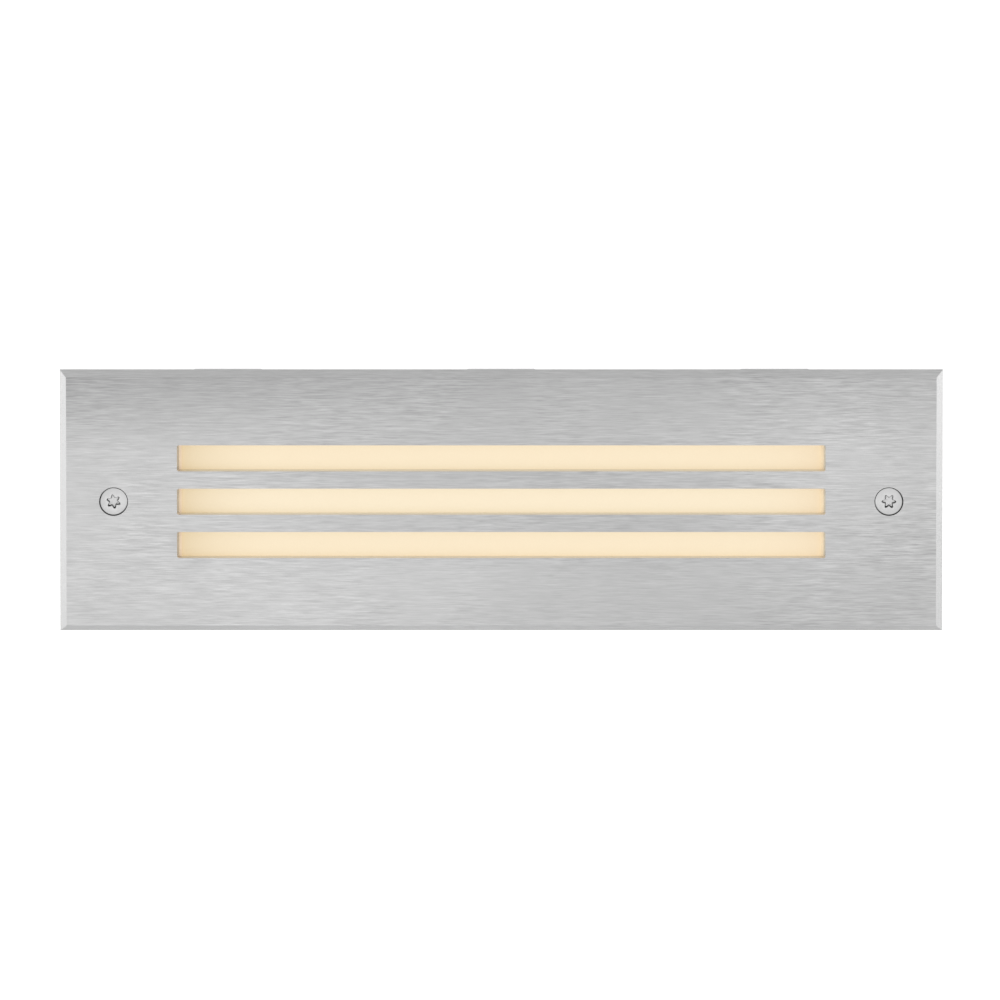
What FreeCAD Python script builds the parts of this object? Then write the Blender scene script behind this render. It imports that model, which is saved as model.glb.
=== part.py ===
import FreeCAD, Part
import math
import os

import Sketcher
from FreeCAD import Placement, Rotation, Vector

# A recessed step light: a bevelled face plate with three slots, the lens assembly that hangs
# behind it, and the cast box with the light engine and its wiring.
# X runs along the plate, Y into the wall, Z up. The origin is the middle of the wall's face.

doc = FreeCAD.newDocument("StepLight")

# ---------------------------------------------------------------- sizes, in millimetres

driving = [
    ("plateLength", 254, "face plate, end to end"),
    ("plateHeight", 76.2, "face plate, bottom to top"),
    ("plateThick", 3.5, "face plate thickness"),
    ("bevelWidth", 1.9, "bevel round the plate, seen from the front"),
    ("bevelDepth", 2.9, "bevel round the plate, front to back"),
    ("endOverhang", 9, "plate past the box at each end"),
    ("sideOverhang", 10.1, "plate past the box above and below"),
    ("slotHeight", 7.6, "light slot"),
    ("slotPitch", 12.65, "one slot to the next"),
    ("slotCorner", 0.6, "slot corner radius"),
    ("slotCount", 3, "slots in the plate"),
    ("lipShow", 1.35, "gasket lip that shows at each slot's end"),
    ("screwInset", 15.5, "plate end to face screw"),
    ("screwHole", 4.5, "hole for the face screw in the plate"),
    ("screwShank", 3.9, "face screw shank"),
    ("screwHead", 8, "face screw head"),
    ("screwLength", 16, "face screw, tip to top of head"),
    ("headSink", 0.1, "head below the plate's face"),
    ("headGap", 0.2, "radial gap round the head"),
    ("driveCore", 2.6, "six-lobe recess, across the hollows"),
    ("driveWidth", 3.95, "six-lobe recess, point to point"),
    ("driveDepth", 1.8, "six-lobe recess depth"),
    ("runGap", 0.05, "radial running clearance of screws"),
    ("retainerWidth", 8, "nylon retainer on the face screw"),
    ("retainerThick", 0.7, "nylon retainer thickness"),
    ("retainerGap", 0.3, "radial gap round the retainer"),
    ("gasketThick", 1.5, "gasket between plate and wall"),
    ("gasketInset", 2, "plate edge to gasket edge"),
    ("gasketRelief", 0.3, "gap between gasket step and box rim"),
    ("gasketEnd", 1, "bracket end to gasket window"),
    ("rimProud", 0.5, "box rim in front of the wall's face"),
    ("boxDepth", 56, "box, rim to back"),
    ("boxWall", 3, "box wall"),
    ("boxCorner", 4, "box corner radius"),
    ("boxEdge", 2, "chamfer round the back of the box"),
    ("bossWidth", 9, "boss for the face screw"),
    ("bossDepth", 34, "boss, from the rim into the entry hub"),
    ("bossWeb", 1, "boss web sunk into the end wall"),
    ("tapDepth", 14.5, "insert and screw hole in the boss, from the rim"),
    ("insertWidth", 5.6, "brass insert, outside"),
    ("insertLength", 8, "brass insert length"),
    ("insertSink", 0.5, "insert below the rim"),
    ("lugWidth", 19.6, "mortar lug along the box"),
    ("lugLength", 10, "mortar lug, front to back"),
    ("lugHeight", 3.1, "mortar lug above the box"),
    ("lugPitch", 79, "one lug to the next"),
    ("lugSetback", 31, "rim to lug"),
    ("lugCount", 3, "lugs on each long side"),
    ("wiringDepth", 26, "space behind the heat spreader"),
    ("hubWidth", 25.4, "conduit entry hub"),
    ("hubBore", 19, "conduit entry, inside the thread"),
    ("hubReach", 9, "hub past the inside of the end wall"),
    ("postWidth", 8, "corner post along the box"),
    ("postReach", 9.5, "corner post in from the long wall"),
    ("postInset", 4, "spreader end to post centre"),
    ("seatWidth", 8, "square screw seat on the back wall"),
    ("seatHeight", 3, "screw seat height"),
    ("bracketGap", 1.5, "lens bracket end to boss"),
    ("bracketSide", 1, "lens bracket to long wall"),
    ("bracketThick", 1.2, "lens bracket sheet"),
    ("bracketFlange", 4, "stiffening flange of the bracket"),
    ("bracketBend", 1.4, "outside bend radius of the bracket"),
    ("bracketGrip", 5, "bracket over the edge of the lens"),
    ("studWidth", 3, "weld stud on the plate"),
    ("studEdge", 4, "stud to bracket end"),
    ("studSpread", 30, "one stud to the next, up the plate"),
    ("studGap", 1.8, "stud to lens gasket"),
    ("studEnd", 1.3, "stud past its nut"),
    ("nutFlats", 5.5, "nut across flats"),
    ("nutThick", 2.4, "nut thickness"),
    ("lipThick", 0.9, "lens gasket lip"),
    ("lipWall", 1.2, "lens gasket wall round the lens edge"),
    ("lipSide", 0.8, "bracket edge to lens gasket edge"),
    ("lensThick", 4, "lens glass"),
    ("lensGrip", 5.1, "gasket lip over the edge of the lens"),
    ("lensCorner", 2, "lens corner radius"),
    ("reflectorGap", 1.6, "stud end to reflector"),
    ("reflectorWall", 1.5, "reflector wall"),
    ("reflectorSide", 1.5, "reflector flange to long wall"),
    ("reflectorEnd", 3.8, "reflector end to pillar centre"),
    ("mouthInset", 11, "pillar centre to reflector mouth"),
    ("mouthHeight", 39, "reflector mouth"),
    ("throatInset", 11, "board end to reflector throat"),
    ("throatHeight", 18, "reflector throat"),
    ("pillarWidth", 6.4, "square reflector pillar"),
    ("grommetInset", 4.5, "post to grommet, along the box"),
    ("spreaderThick", 2.5, "heat spreader plate"),
    ("spreaderGap", 2, "heat spreader end to hub"),
    ("spreaderSide", 1, "heat spreader to long wall"),
    ("padThick", 0.5, "thermal pad"),
    ("padInset", 1, "board edge to thermal pad edge"),
    ("boardGap", 0.3, "board end to grommet"),
    ("boardHeight", 24, "LED board"),
    ("boardThick", 1.6, "LED board thickness"),
    ("ledCount", 12, "LEDs on the board"),
    ("ledSize", 3.5, "LED package"),
    ("ledThick", 0.7, "LED package thickness"),
    ("ledLens", 2.6, "phosphor window of an LED"),
    ("ledLensThick", 0.2, "phosphor window, proud of the package"),
    ("ledEnd", 5.2, "throat end to the first LED"),
    ("plugLength", 6, "board connector along the board"),
    ("plugHeight", 8, "board connector, bottom to top"),
    ("plugThick", 3, "board connector thickness"),
    ("plugInset", 1, "board end to connector"),
    ("plugEdge", 0.4, "chamfer on the connector"),
    ("boltShank", 2.9, "small screw shank"),
    ("boltHead", 5.5, "small hexagon head, across flats"),
    ("boltHeadThick", 2, "small screw head thickness"),
    ("postBite", 6, "small screw length in a post"),
    ("seatBite", 3.5, "small screw length in a seat"),
    ("grommetBore", 4.4, "grommet, inside"),
    ("grommetHole", 6.4, "grommet hole in the heat spreader"),
    ("grommetWidth", 8.4, "grommet flange"),
    ("grommetLip", 1, "grommet flange thickness"),
    ("driverLength", 68, "LED driver case"),
    ("driverWidth", 30, "LED driver case, bottom to top"),
    ("driverThick", 17, "LED driver case, front to back"),
    ("driverCorner", 2, "LED driver case corner"),
    ("driverGap", 12.5, "grommet to the driver's end"),
    ("tabLength", 7, "driver's fixing tab"),
    ("tabWidth", 12, "driver's fixing tab, bottom to top"),
    ("tabThick", 2, "driver's fixing tab thickness"),
    ("blockLength", 20, "terminal block, wire to wire"),
    ("blockThick", 15, "terminal block, front to back"),
    ("leadRun", 35, "driver to terminal block"),
    ("polePitch", 10, "one pole to the next"),
    ("poleCount", 3, "poles of the terminal block"),
    ("wireHole", 3.2, "square wire entry of the block"),
    ("wireHoleDepth", 7, "wire entry depth"),
    ("buttonLength", 4, "release button, along the block"),
    ("buttonWidth", 2.6, "release button, bottom to top"),
    ("buttonThick", 2.4, "release button, front to back"),
    ("buttonSink", 1.5, "release button below the block's face"),
    ("buttonGap", 0.1, "gap round a release button"),
    ("buttonPlace", 6.5, "middle of the block to a release button"),
    ("barrierWidth", 1.6, "groove between poles"),
    ("barrierDepth", 2.5, "groove between poles, depth"),
    ("groundGap", 1, "driver's end to ground screw, along the box"),
    ("groundInset", 5.5, "long wall to ground screw"),
    ("ringWidth", 8, "ring terminal"),
    ("ringThick", 0.8, "ring terminal thickness"),
    ("ringHole", 4.2, "ring terminal hole"),
    ("barrelWidth", 3.2, "ring terminal barrel"),
    ("barrelLength", 7, "ring terminal barrel length"),
    ("groundShank", 3.9, "ground screw shank"),
    ("groundHead", 7, "ground screw head across flats"),
    ("groundHeadThick", 2.8, "ground screw head thickness"),
    ("groundBite", 4, "ground screw in its seat"),
    ("entryFlange", 25, "entry plug flange"),
    ("entryFlangeThick", 2, "entry plug flange thickness"),
    ("entryGap", 0.1, "radial gap of the plug's thread"),
    ("entryThread", 9, "entry plug thread length"),
    ("entrySocket", 8, "hex socket in the plug, across flats"),
    ("entrySocketDepth", 5, "hex socket depth"),
    ("sealWidth", 23, "ring seal under the plug flange"),
    ("sealThick", 1.6, "ring seal thickness"),
    ("supplyLead", 2, "supply lead over its insulation"),
    ("ledLead", 1.6, "LED lead over its insulation"),
    ("ledLeadGap", 0.3, "gap between the two LED leads"),
    ("leadInset", 11, "driver's long side to its supply leads"),
    ("leadDepth", 5.6, "driver's front to its leads"),
    ("leadStub", 0.5, "least straight run at the ends of an LED lead"),
]

# Sizes that follow from the driving ones, from the plate inwards and from the wall to the back.
worked = [
    ("screwX", "Sizes.plateLength / 2 - Sizes.screwInset"),
    ("boxLength", "Sizes.plateLength - 2 * Sizes.endOverhang"),
    ("boxHeight", "Sizes.plateHeight - 2 * Sizes.sideOverhang"),
    ("innerLength", "Fits.boxLength - 2 * Sizes.boxWall"),
    ("innerHeight", "Fits.boxHeight - 2 * Sizes.boxWall"),
    ("innerDepth", "Sizes.boxDepth - Sizes.boxWall"),
    ("bracketLength", "2 * (Fits.screwX - Sizes.bossWidth / 2 - Sizes.bracketGap)"),
    ("bracketHeight", "Fits.innerHeight - 2 * Sizes.bracketSide"),
    ("studX", "Fits.bracketLength / 2 - Sizes.studEdge"),
    ("studZ", "Sizes.studSpread / 2"),
    ("lensGasketLength", "2 * (Fits.studX - Sizes.studWidth / 2 - Sizes.studGap)"),
    ("lensGasketHeight", "Fits.bracketHeight - 2 * Sizes.lipSide"),
    ("lensLength", "Fits.lensGasketLength - 2 * Sizes.lipWall"),
    ("lensHeight", "Fits.lensGasketHeight - 2 * Sizes.lipWall"),
    ("lipLength", "Fits.lensLength - 2 * Sizes.lensGrip"),
    ("lipHeight", "Fits.lensHeight - 2 * Sizes.lensGrip"),
    ("slotLength", "Fits.lipLength + 2 * Sizes.lipShow"),
    ("plateBack", "-Sizes.gasketThick"),
    ("plateFront", "Fits.plateBack - Sizes.plateThick"),
    ("rim", "-Sizes.rimProud"),
    ("lensFront", "Fits.plateBack + Sizes.lipThick"),
    ("lensGasketThick", "Sizes.lensThick + 2 * Sizes.lipThick"),
    ("bracketFront", "Fits.plateBack + Fits.lensGasketThick"),
    ("bracketBack", "Fits.bracketFront + Sizes.bracketThick"),
    ("studBack", "Fits.bracketBack + Sizes.nutThick + Sizes.studEnd"),
    ("reflectorFront", "Fits.studBack + Sizes.reflectorGap"),
    ("backWall", "Fits.rim + Fits.innerDepth"),
    ("spreaderBack", "Fits.backWall - Sizes.wiringDepth"),
    ("spreaderFront", "Fits.spreaderBack - Sizes.spreaderThick"),
    ("padFront", "Fits.spreaderFront - Sizes.padThick"),
    ("boardFront", "Fits.padFront - Sizes.boardThick"),
    ("seatFront", "Fits.backWall - Sizes.seatHeight"),
    ("hubY", "Fits.backWall - Sizes.wiringDepth / 2"),
    ("spreaderLength", "Fits.innerLength - 2 * (Sizes.hubReach + Sizes.spreaderGap)"),
    ("spreaderHeight", "Fits.innerHeight - 2 * Sizes.spreaderSide"),
    ("postX", "Fits.spreaderLength / 2 - Sizes.postInset"),
    ("postZ", "Fits.innerHeight / 2 - Sizes.postReach / 2"),
    ("grommetX", "Fits.postX - Sizes.grommetInset"),
    ("reflectorLength", "2 * (Fits.postX + Sizes.reflectorEnd)"),
    ("reflectorHeight", "Fits.innerHeight - 2 * Sizes.reflectorSide"),
    ("mouthLength", "2 * (Fits.postX - Sizes.mouthInset)"),
    ("boardLength", "2 * (Fits.grommetX - Sizes.grommetWidth / 2 - Sizes.boardGap)"),
    ("throatLength", "Fits.boardLength - 2 * Sizes.throatInset"),
    ("funnelDepth", "Fits.boardFront - Fits.reflectorFront"),
    ("ledRow", "Fits.throatLength - 2 * Sizes.ledEnd"),
    ("ledPitch", "Fits.ledRow / (Sizes.ledCount - 1)"),
    ("plugX", "Fits.boardLength / 2 - Sizes.plugInset - Sizes.plugLength / 2"),
    ("boltHole", "Sizes.boltShank + 2 * Sizes.runGap"),
    ("driverX", "Fits.grommetX - Sizes.driverGap - Sizes.driverLength / 2"),
    ("driverTabX", "(Sizes.driverLength + Sizes.tabLength) / 2"),
    ("driverFront", "Fits.seatFront - Sizes.driverThick"),
    ("leadY", "Fits.driverFront + Sizes.leadDepth"),
    ("leadZ", "Sizes.driverWidth / 2 - Sizes.leadInset"),
    ("blockX", "Sizes.driverLength / 2 - Fits.driverX + Sizes.leadRun + Sizes.blockLength / 2"),
    ("blockHeight", "Sizes.poleCount * Sizes.polePitch"),
    ("blockFront", "Fits.seatFront - Sizes.blockThick"),
    ("wireY", "Fits.seatFront - Sizes.blockThick / 2"),
    ("groundX", "Fits.driverX - Sizes.driverLength / 2 - Sizes.groundGap"),
    ("groundZ", "Fits.innerHeight / 2 - Sizes.groundInset"),
    ("boxEnd", "Fits.boxLength / 2"),
    ("threadWidth", "Sizes.hubBore - 2 * Sizes.entryGap"),
]


def fill_sheet(name, rows, start=""):
    """One alias to a row: its name, its cell and a note."""
    sheet = doc.addObject("Spreadsheet::Sheet", name)
    for number, (alias, content, *note) in enumerate(rows, 1):
        sheet.set(f"A{number}", alias)
        sheet.set(f"B{number}", start + str(content))
        sheet.setAlias(f"B{number}", alias)
        if note:
            sheet.set(f"C{number}", note[0])
    doc.recompute()
    return sheet


sizes = fill_sheet("Sizes", driving)
fits = fill_sheet("Fits", worked, start="=")


def worth(expression):
    """The number that an expression in the sheets' names comes to."""
    return float(sizes.evalExpression(expression))


# ---------------------------------------------------------------- sketches

NORMAL = {"XZ_Plane": -1, "XY_Plane": 1, "YZ_Plane": 1}  # which way each plane's normal points


def origin_part(body, role):
    return next(part for part in body.Origin.OriginFeatures if part.Role == role)


def new_body(label, x="0", y="0", z="0"):
    body = doc.addObject("PartDesign::Body", label)
    body.Label = label
    for axis, place in zip("xyz", (x, y, z)):
        body.setExpression(f".Placement.Base.{axis}", place)
    return body


def new_sketch(body, plane="XZ_Plane", at="0"):
    """A sketch on one of the body's planes, moved along +Y, +Z or +X to stand at the given place."""
    sketch = body.newObject("Sketcher::SketchObject", f"{body.Name}_sketch")
    sketch.AttachmentSupport = [(origin_part(body, plane), "")]
    sketch.MapMode = "FlatFace"
    sign = "-" if NORMAL[plane] < 0 else ""
    sketch.setExpression(".AttachmentOffset.Base.z", f"{sign}({at})")
    return sketch


def constrain(sketch, kind, *targets, size=None):
    """A constraint, and if it has a size, the expression that drives it."""
    if size is None:
        return sketch.addConstraint(Sketcher.Constraint(kind, *targets))
    index = sketch.addConstraint(Sketcher.Constraint(kind, *targets, worth(size)))
    sketch.renameConstraint(index, f"{kind}{index}")
    sketch.setExpression(f"Constraints.{kind}{index}", size)
    return index


def pin_point(sketch, shape, point, across, up):
    """Hold a point at a place counted from the sketch's origin, on either side of it."""
    for kind, place, axis in (("DistanceX", across, -2), ("DistanceY", up, -1)):
        distance = worth(place)
        if distance == 0:
            constrain(sketch, "PointOnObject", shape, point, axis)
        elif distance > 0:
            constrain(sketch, kind, -1, 1, shape, point, size=place)
        else:
            constrain(sketch, kind, shape, point, -1, 1, size=f"-({place})")


def circle(sketch, width, across="0", up="0"):
    centre = Vector(worth(across), worth(up), 0)
    ring = sketch.addGeometry(Part.Circle(centre, Vector(0, 0, 1), worth(width) / 2))
    constrain(sketch, "Diameter", ring, size=width)
    pin_point(sketch, ring, 3, across, up)
    return ring


def rectangle(sketch, width, height, across="0", up="0", corner=None):
    """A rectangle about a centre, with round corners if a radius is given."""
    middle = Vector(worth(across), worth(up), 0)
    half_w, half_h = worth(width) / 2, worth(height) / 2
    cut = worth(corner) if corner else 0
    # each side as start and end, counter-clockwise from the bottom
    sides = [
        (Vector(cut - half_w, -half_h), Vector(half_w - cut, -half_h)),
        (Vector(half_w, cut - half_h), Vector(half_w, half_h - cut)),
        (Vector(half_w - cut, half_h), Vector(cut - half_w, half_h)),
        (Vector(-half_w, half_h - cut), Vector(-half_w, cut - half_h)),
    ]
    lines = [sketch.addGeometry(Part.LineSegment(a + middle, b + middle)) for a, b in sides]
    if corner:
        arcs = []
        for turn, (line, (start, end)) in enumerate(zip(lines, sides)):
            following = sides[(turn + 1) % 4]
            along = (end - start).normalize()
            centre = following[0] - along * cut + middle
            first = (turn - 1) * math.pi / 2
            round_corner = Part.Circle(centre, Vector(0, 0, 1), cut)
            arc = sketch.addGeometry(Part.ArcOfCircle(round_corner, first, first + math.pi / 2))
            constrain(sketch, "Tangent", line, 2, arc, 1)
            constrain(sketch, "Tangent", arc, 2, lines[(turn + 1) % 4], 1)
            arcs.append(arc)
        for arc in arcs[1:]:
            constrain(sketch, "Equal", arcs[0], arc)
        constrain(sketch, "Radius", arcs[0], size=corner)
    else:
        for line, following in zip(lines, lines[1:] + lines[:1]):
            constrain(sketch, "Coincident", line, 2, following, 1)
    for side, line in enumerate(lines):
        constrain(sketch, "Vertical" if side % 2 else "Horizontal", line)
    constrain(sketch, "DistanceX", lines[3], 1, lines[1], 1, size=width)
    constrain(sketch, "DistanceY", lines[0], 1, lines[2], 1, size=height)
    hub = sketch.addGeometry(Part.Point(middle), True)
    constrain(sketch, "Symmetric", lines[0], 1, lines[2], 1, hub, 1)
    pin_point(sketch, hub, 1, across, up)


def hexagon(sketch, flats, across="0", up="0"):
    """A regular hexagon about a centre, two of its corners to the left and right."""
    corners = f"{flats} / cos(30 deg)"
    centre = Vector(worth(across), worth(up), 0)
    reach = worth(corners) / 2
    points = [centre + Vector(reach * math.cos(turn * math.pi / 3), reach * math.sin(turn * math.pi / 3))
              for turn in range(6)]
    ring = sketch.addGeometry(Part.Circle(centre, Vector(0, 0, 1), reach), True)
    constrain(sketch, "Diameter", ring, size=corners)
    pin_point(sketch, ring, 3, across, up)
    lines = [sketch.addGeometry(Part.LineSegment(points[side], points[(side + 1) % 6])) for side in range(6)]
    for line, following in zip(lines, lines[1:] + lines[:1]):
        constrain(sketch, "Coincident", line, 2, following, 1)
        constrain(sketch, "PointOnObject", line, 1, ring)
    for line in lines[1:]:
        constrain(sketch, "Equal", lines[0], line)
    constrain(sketch, "Horizontal", lines[1])


def star(sketch, width, core):
    """A six-pointed star about the origin, one of its points straight up."""
    rings = []
    for across in (width, core):
        ring = sketch.addGeometry(Part.Circle(Vector(), Vector(0, 0, 1), worth(across) / 2), True)
        constrain(sketch, "Diameter", ring, size=across)
        pin_point(sketch, ring, 3, "0", "0")
        rings.append(ring)
    reaches = [worth(width) / 2, worth(core) / 2] * 6
    turns = [math.pi / 2 + step * math.pi / 6 for step in range(12)]
    points = [Vector(reach * math.cos(turn), reach * math.sin(turn)) for reach, turn in zip(reaches, turns)]
    lines = [sketch.addGeometry(Part.LineSegment(a, b)) for a, b in zip(points, points[1:] + points[:1])]
    for number, (line, following) in enumerate(zip(lines, lines[1:] + lines[:1])):
        constrain(sketch, "PointOnObject", line, 1, rings[number % 2])
        constrain(sketch, "Coincident", line, 2, following, 1)
    for line in lines[1:]:
        constrain(sketch, "Equal", lines[0], line)
    constrain(sketch, "PointOnObject", lines[0], 1, -2)


# ---------------------------------------------------------------- features

def pad(body, sketch, length, forward=True):
    """Fill a sketch along +Y, +Z or +X, or backwards."""
    feature = body.newObject("PartDesign::Pad", f"{body.Name}_pad")
    feature.Profile = sketch
    plane = sketch.AttachmentSupport[0][0].Role
    feature.Reversed = (NORMAL[plane] > 0) != forward
    feature.setExpression("Length", length)
    doc.recompute()
    return feature


def pocket(body, sketch, length=None, forward=True):
    """Cut a sketch along +Y, +Z or +X, or backwards; with no length it goes through everything."""
    before = body.Shape.Volume
    feature = body.newObject("PartDesign::Pocket", f"{body.Name}_pocket")
    feature.Profile = sketch
    plane = sketch.AttachmentSupport[0][0].Role
    feature.Reversed = (NORMAL[plane] > 0) == forward
    if length is None:
        feature.Type = "ThroughAll"
    else:
        feature.setExpression("Length", length)
    doc.recompute()
    if not body.Shape.Volume < before:
        raise ValueError(f"a pocket of {body.Label} cuts nothing")
    return feature


def mirror(body, features, plane):
    feature = body.newObject("PartDesign::Mirrored", f"{body.Name}_mirror")
    feature.Originals = features
    feature.MirrorPlane = (origin_part(body, plane), [""])
    body.Tip = feature
    doc.recompute()
    return feature


def row(body, features, axis, length, count):
    """Repeat features along an axis, from the first to the last of the row."""
    feature = body.newObject("PartDesign::LinearPattern", f"{body.Name}_row")
    feature.Originals = features
    feature.Direction = (origin_part(body, axis), [""])
    feature.setExpression("Length", length)
    feature.setExpression("Occurrences", count)
    body.Tip = feature
    doc.recompute()
    return feature


def dress(body, kind, size, wanted):
    """A fillet or a chamfer on the edges that the test picks."""
    base = body.Tip
    edges = [f"Edge{number}" for number, edge in enumerate(base.Shape.Edges, 1) if wanted(edge)]
    if not edges:
        raise ValueError(f"{body.Label} has no edge for its {kind.lower()}")
    feature = body.newObject(f"PartDesign::{kind}", f"{body.Name}_{kind.lower()}")
    feature.Base = (base, edges)
    feature.setExpression("Radius" if kind == "Fillet" else "Size", size)
    doc.recompute()
    return feature


def near(a, b):
    return abs(a - b) < 1e-4


def flat_at(edge, place):
    """Whether an edge lies in the plane across Y at a place."""
    box = edge.BoundBox
    return near(box.YMin, place) and near(box.YMax, place)


def pairs(across, up):
    """The four places at plus and minus two distances."""
    return [(f"{sx}{across}", f"{sz}{up}") for sx in ("", "-") for sz in ("", "-")]


def opposite(across, up):
    """Two of the four places, at opposite corners."""
    return [(across, up), (f"-{across}", f"-{up}")]


# ---------------------------------------------------------------- the cover

def faceplate():
    body = new_body("faceplate", y="Fits.plateFront")
    front = new_sketch(body)
    rectangle(front, "Sizes.plateLength - 2 * Sizes.bevelWidth", "Sizes.plateHeight - 2 * Sizes.bevelWidth")
    edge = new_sketch(body, at="Sizes.bevelDepth")
    rectangle(edge, "Sizes.plateLength", "Sizes.plateHeight")
    bevel = body.newObject("PartDesign::AdditiveLoft", "bevel")
    bevel.Profile = front
    bevel.Sections = [edge]
    bevel.Ruled = True
    land = new_sketch(body, at="Sizes.bevelDepth")
    rectangle(land, "Sizes.plateLength", "Sizes.plateHeight")
    pad(body, land, "Sizes.plateThick - Sizes.bevelDepth")
    slot = new_sketch(body)
    lowest = "-Sizes.slotPitch * (Sizes.slotCount - 1) / 2"
    rectangle(slot, "Fits.slotLength", "Sizes.slotHeight", up=lowest, corner="Sizes.slotCorner")
    first = pocket(body, slot)
    row(body, [first], "Z_Axis", "Sizes.slotPitch * (Sizes.slotCount - 1)", "Sizes.slotCount")
    centres = new_sketch(body)
    for side in ("", "-"):
        circle(centres, "Sizes.screwHole", across=f"{side}Fits.screwX")
    doc.recompute()
    hole = body.newObject("PartDesign::Hole", "screw_holes")
    hole.Profile = centres
    doc.recompute()
    hole.DepthType = "ThroughAll"
    hole.setExpression("Diameter", "Sizes.screwHole")
    hole.HoleCutType = "Countersink"
    hole.HoleCutCustomValues = True
    hole.setExpression("HoleCutDiameter", "Sizes.screwHead + 2 * Sizes.headGap")
    hole.HoleCutCountersinkAngle = 90
    doc.recompute()
    return body


def faceplate_studs():
    """Four studs welded to the back of the plate."""
    body = new_body("faceplate_studs", y="Fits.plateBack")
    sketch = new_sketch(body)
    for across, up in pairs("Fits.studX", "Fits.studZ"):
        circle(sketch, "Sizes.studWidth", across, up)
    pad(body, sketch, "Fits.studBack - Fits.plateBack")
    return body


def faceplate_gasket():
    """A flat ring behind the plate: its thin inner part lies on the box rim, its outer part on the wall."""
    body = new_body("faceplate_gasket", y="Fits.plateBack")
    length = "Sizes.plateLength - 2 * Sizes.gasketInset"
    height = "Sizes.plateHeight - 2 * Sizes.gasketInset"
    sheet = new_sketch(body)
    rectangle(sheet, length, height)
    rectangle(sheet, "Fits.bracketLength + 2 * Sizes.gasketEnd", "Fits.innerHeight")
    for side in ("", "-"):
        circle(sheet, "Sizes.retainerWidth + 2 * Sizes.retainerGap", across=f"{side}Fits.screwX")
    pad(body, sheet, "Sizes.gasketThick - Sizes.rimProud")
    step = new_sketch(body, at="Sizes.gasketThick - Sizes.rimProud")
    rectangle(step, length, height)
    rectangle(step, "Fits.boxLength + 2 * Sizes.gasketRelief", "Fits.boxHeight + 2 * Sizes.gasketRelief",
              corner="Sizes.boxCorner + Sizes.gasketRelief")
    pad(body, step, "Sizes.rimProud")
    return body


def lens_gasket():
    """A channel section that runs round the edge of the lens: front lip, wall and back lip."""
    body = new_body("lens_gasket", y="Fits.plateBack")
    layers = [
        ("0", "Sizes.lipThick", "Fits.lipLength", "Fits.lipHeight", None),
        ("Sizes.lipThick", "Sizes.lensThick", "Fits.lensLength", "Fits.lensHeight", "Sizes.lensCorner"),
        ("Sizes.lipThick + Sizes.lensThick", "Sizes.lipThick", "Fits.lipLength", "Fits.lipHeight", None),
    ]
    for at, thick, length, height, corner in layers:
        ring = new_sketch(body, at=at)
        rectangle(ring, "Fits.lensGasketLength", "Fits.lensGasketHeight",
                  corner="Sizes.lensCorner + Sizes.lipWall")
        rectangle(ring, length, height, corner=corner)
        pad(body, ring, thick)
    return body


def lens():
    body = new_body("lens", y="Fits.lensFront")
    outline = new_sketch(body)
    rectangle(outline, "Fits.lensLength", "Fits.lensHeight", corner="Sizes.lensCorner")
    pad(body, outline, "Sizes.lensThick")
    return body


def lens_bracket():
    """A pressed frame that holds the lens against the plate, its long sides bent back to stiffen it."""
    body = new_body("lens_bracket", y="Fits.bracketFront")
    blank = new_sketch(body)
    rectangle(blank, "Fits.bracketLength", "Fits.bracketHeight")
    pad(body, blank, "Sizes.bracketFlange")
    side = worth("Fits.bracketHeight") / 2
    dress(body, "Fillet", "Sizes.bracketBend",
          lambda edge: flat_at(edge, 0) and near(abs(edge.CenterOfMass.z), side))
    # everything behind the sheet goes, apart from the two flanges
    trough = new_sketch(body, "YZ_Plane", at="-Fits.bracketLength / 2 - Sizes.bracketGap")
    rectangle(trough, "2 * Sizes.bracketFlange", "Fits.bracketHeight - 2 * Sizes.bracketThick",
              across="Sizes.bracketThick + Sizes.bracketFlange",
              corner="Sizes.bracketBend - Sizes.bracketThick")
    pocket(body, trough, "Fits.bracketLength + 2 * Sizes.bracketGap")
    window = new_sketch(body)
    rectangle(window, "Fits.lensLength - 2 * Sizes.bracketGrip", "Fits.lensHeight - 2 * Sizes.bracketGrip",
              corner="Sizes.lensCorner")
    for across, up in pairs("Fits.studX", "Fits.studZ"):
        circle(window, "Sizes.studWidth + 4 * Sizes.runGap", across, up)
    pocket(body, window)
    return body


def bracket_nuts():
    body = new_body("bracket_nuts", y="Fits.bracketBack")
    sketch = new_sketch(body)
    for across, up in pairs("Fits.studX", "Fits.studZ"):
        hexagon(sketch, "Sizes.nutFlats", across, up)
        circle(sketch, "Sizes.studWidth + 2 * Sizes.runGap", across, up)
    pad(body, sketch, "Sizes.nutThick")
    return body


def screw_retainers():
    """Nylon rings behind the plate that keep the face screws from falling out."""
    body = new_body("screw_retainers", y="Fits.plateBack")
    sketch = new_sketch(body)
    for side in ("", "-"):
        circle(sketch, "Sizes.retainerWidth", across=f"{side}Fits.screwX")
        circle(sketch, "Sizes.screwShank + 2 * Sizes.runGap", across=f"{side}Fits.screwX")
    pad(body, sketch, "Sizes.retainerThick")
    return body


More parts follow.
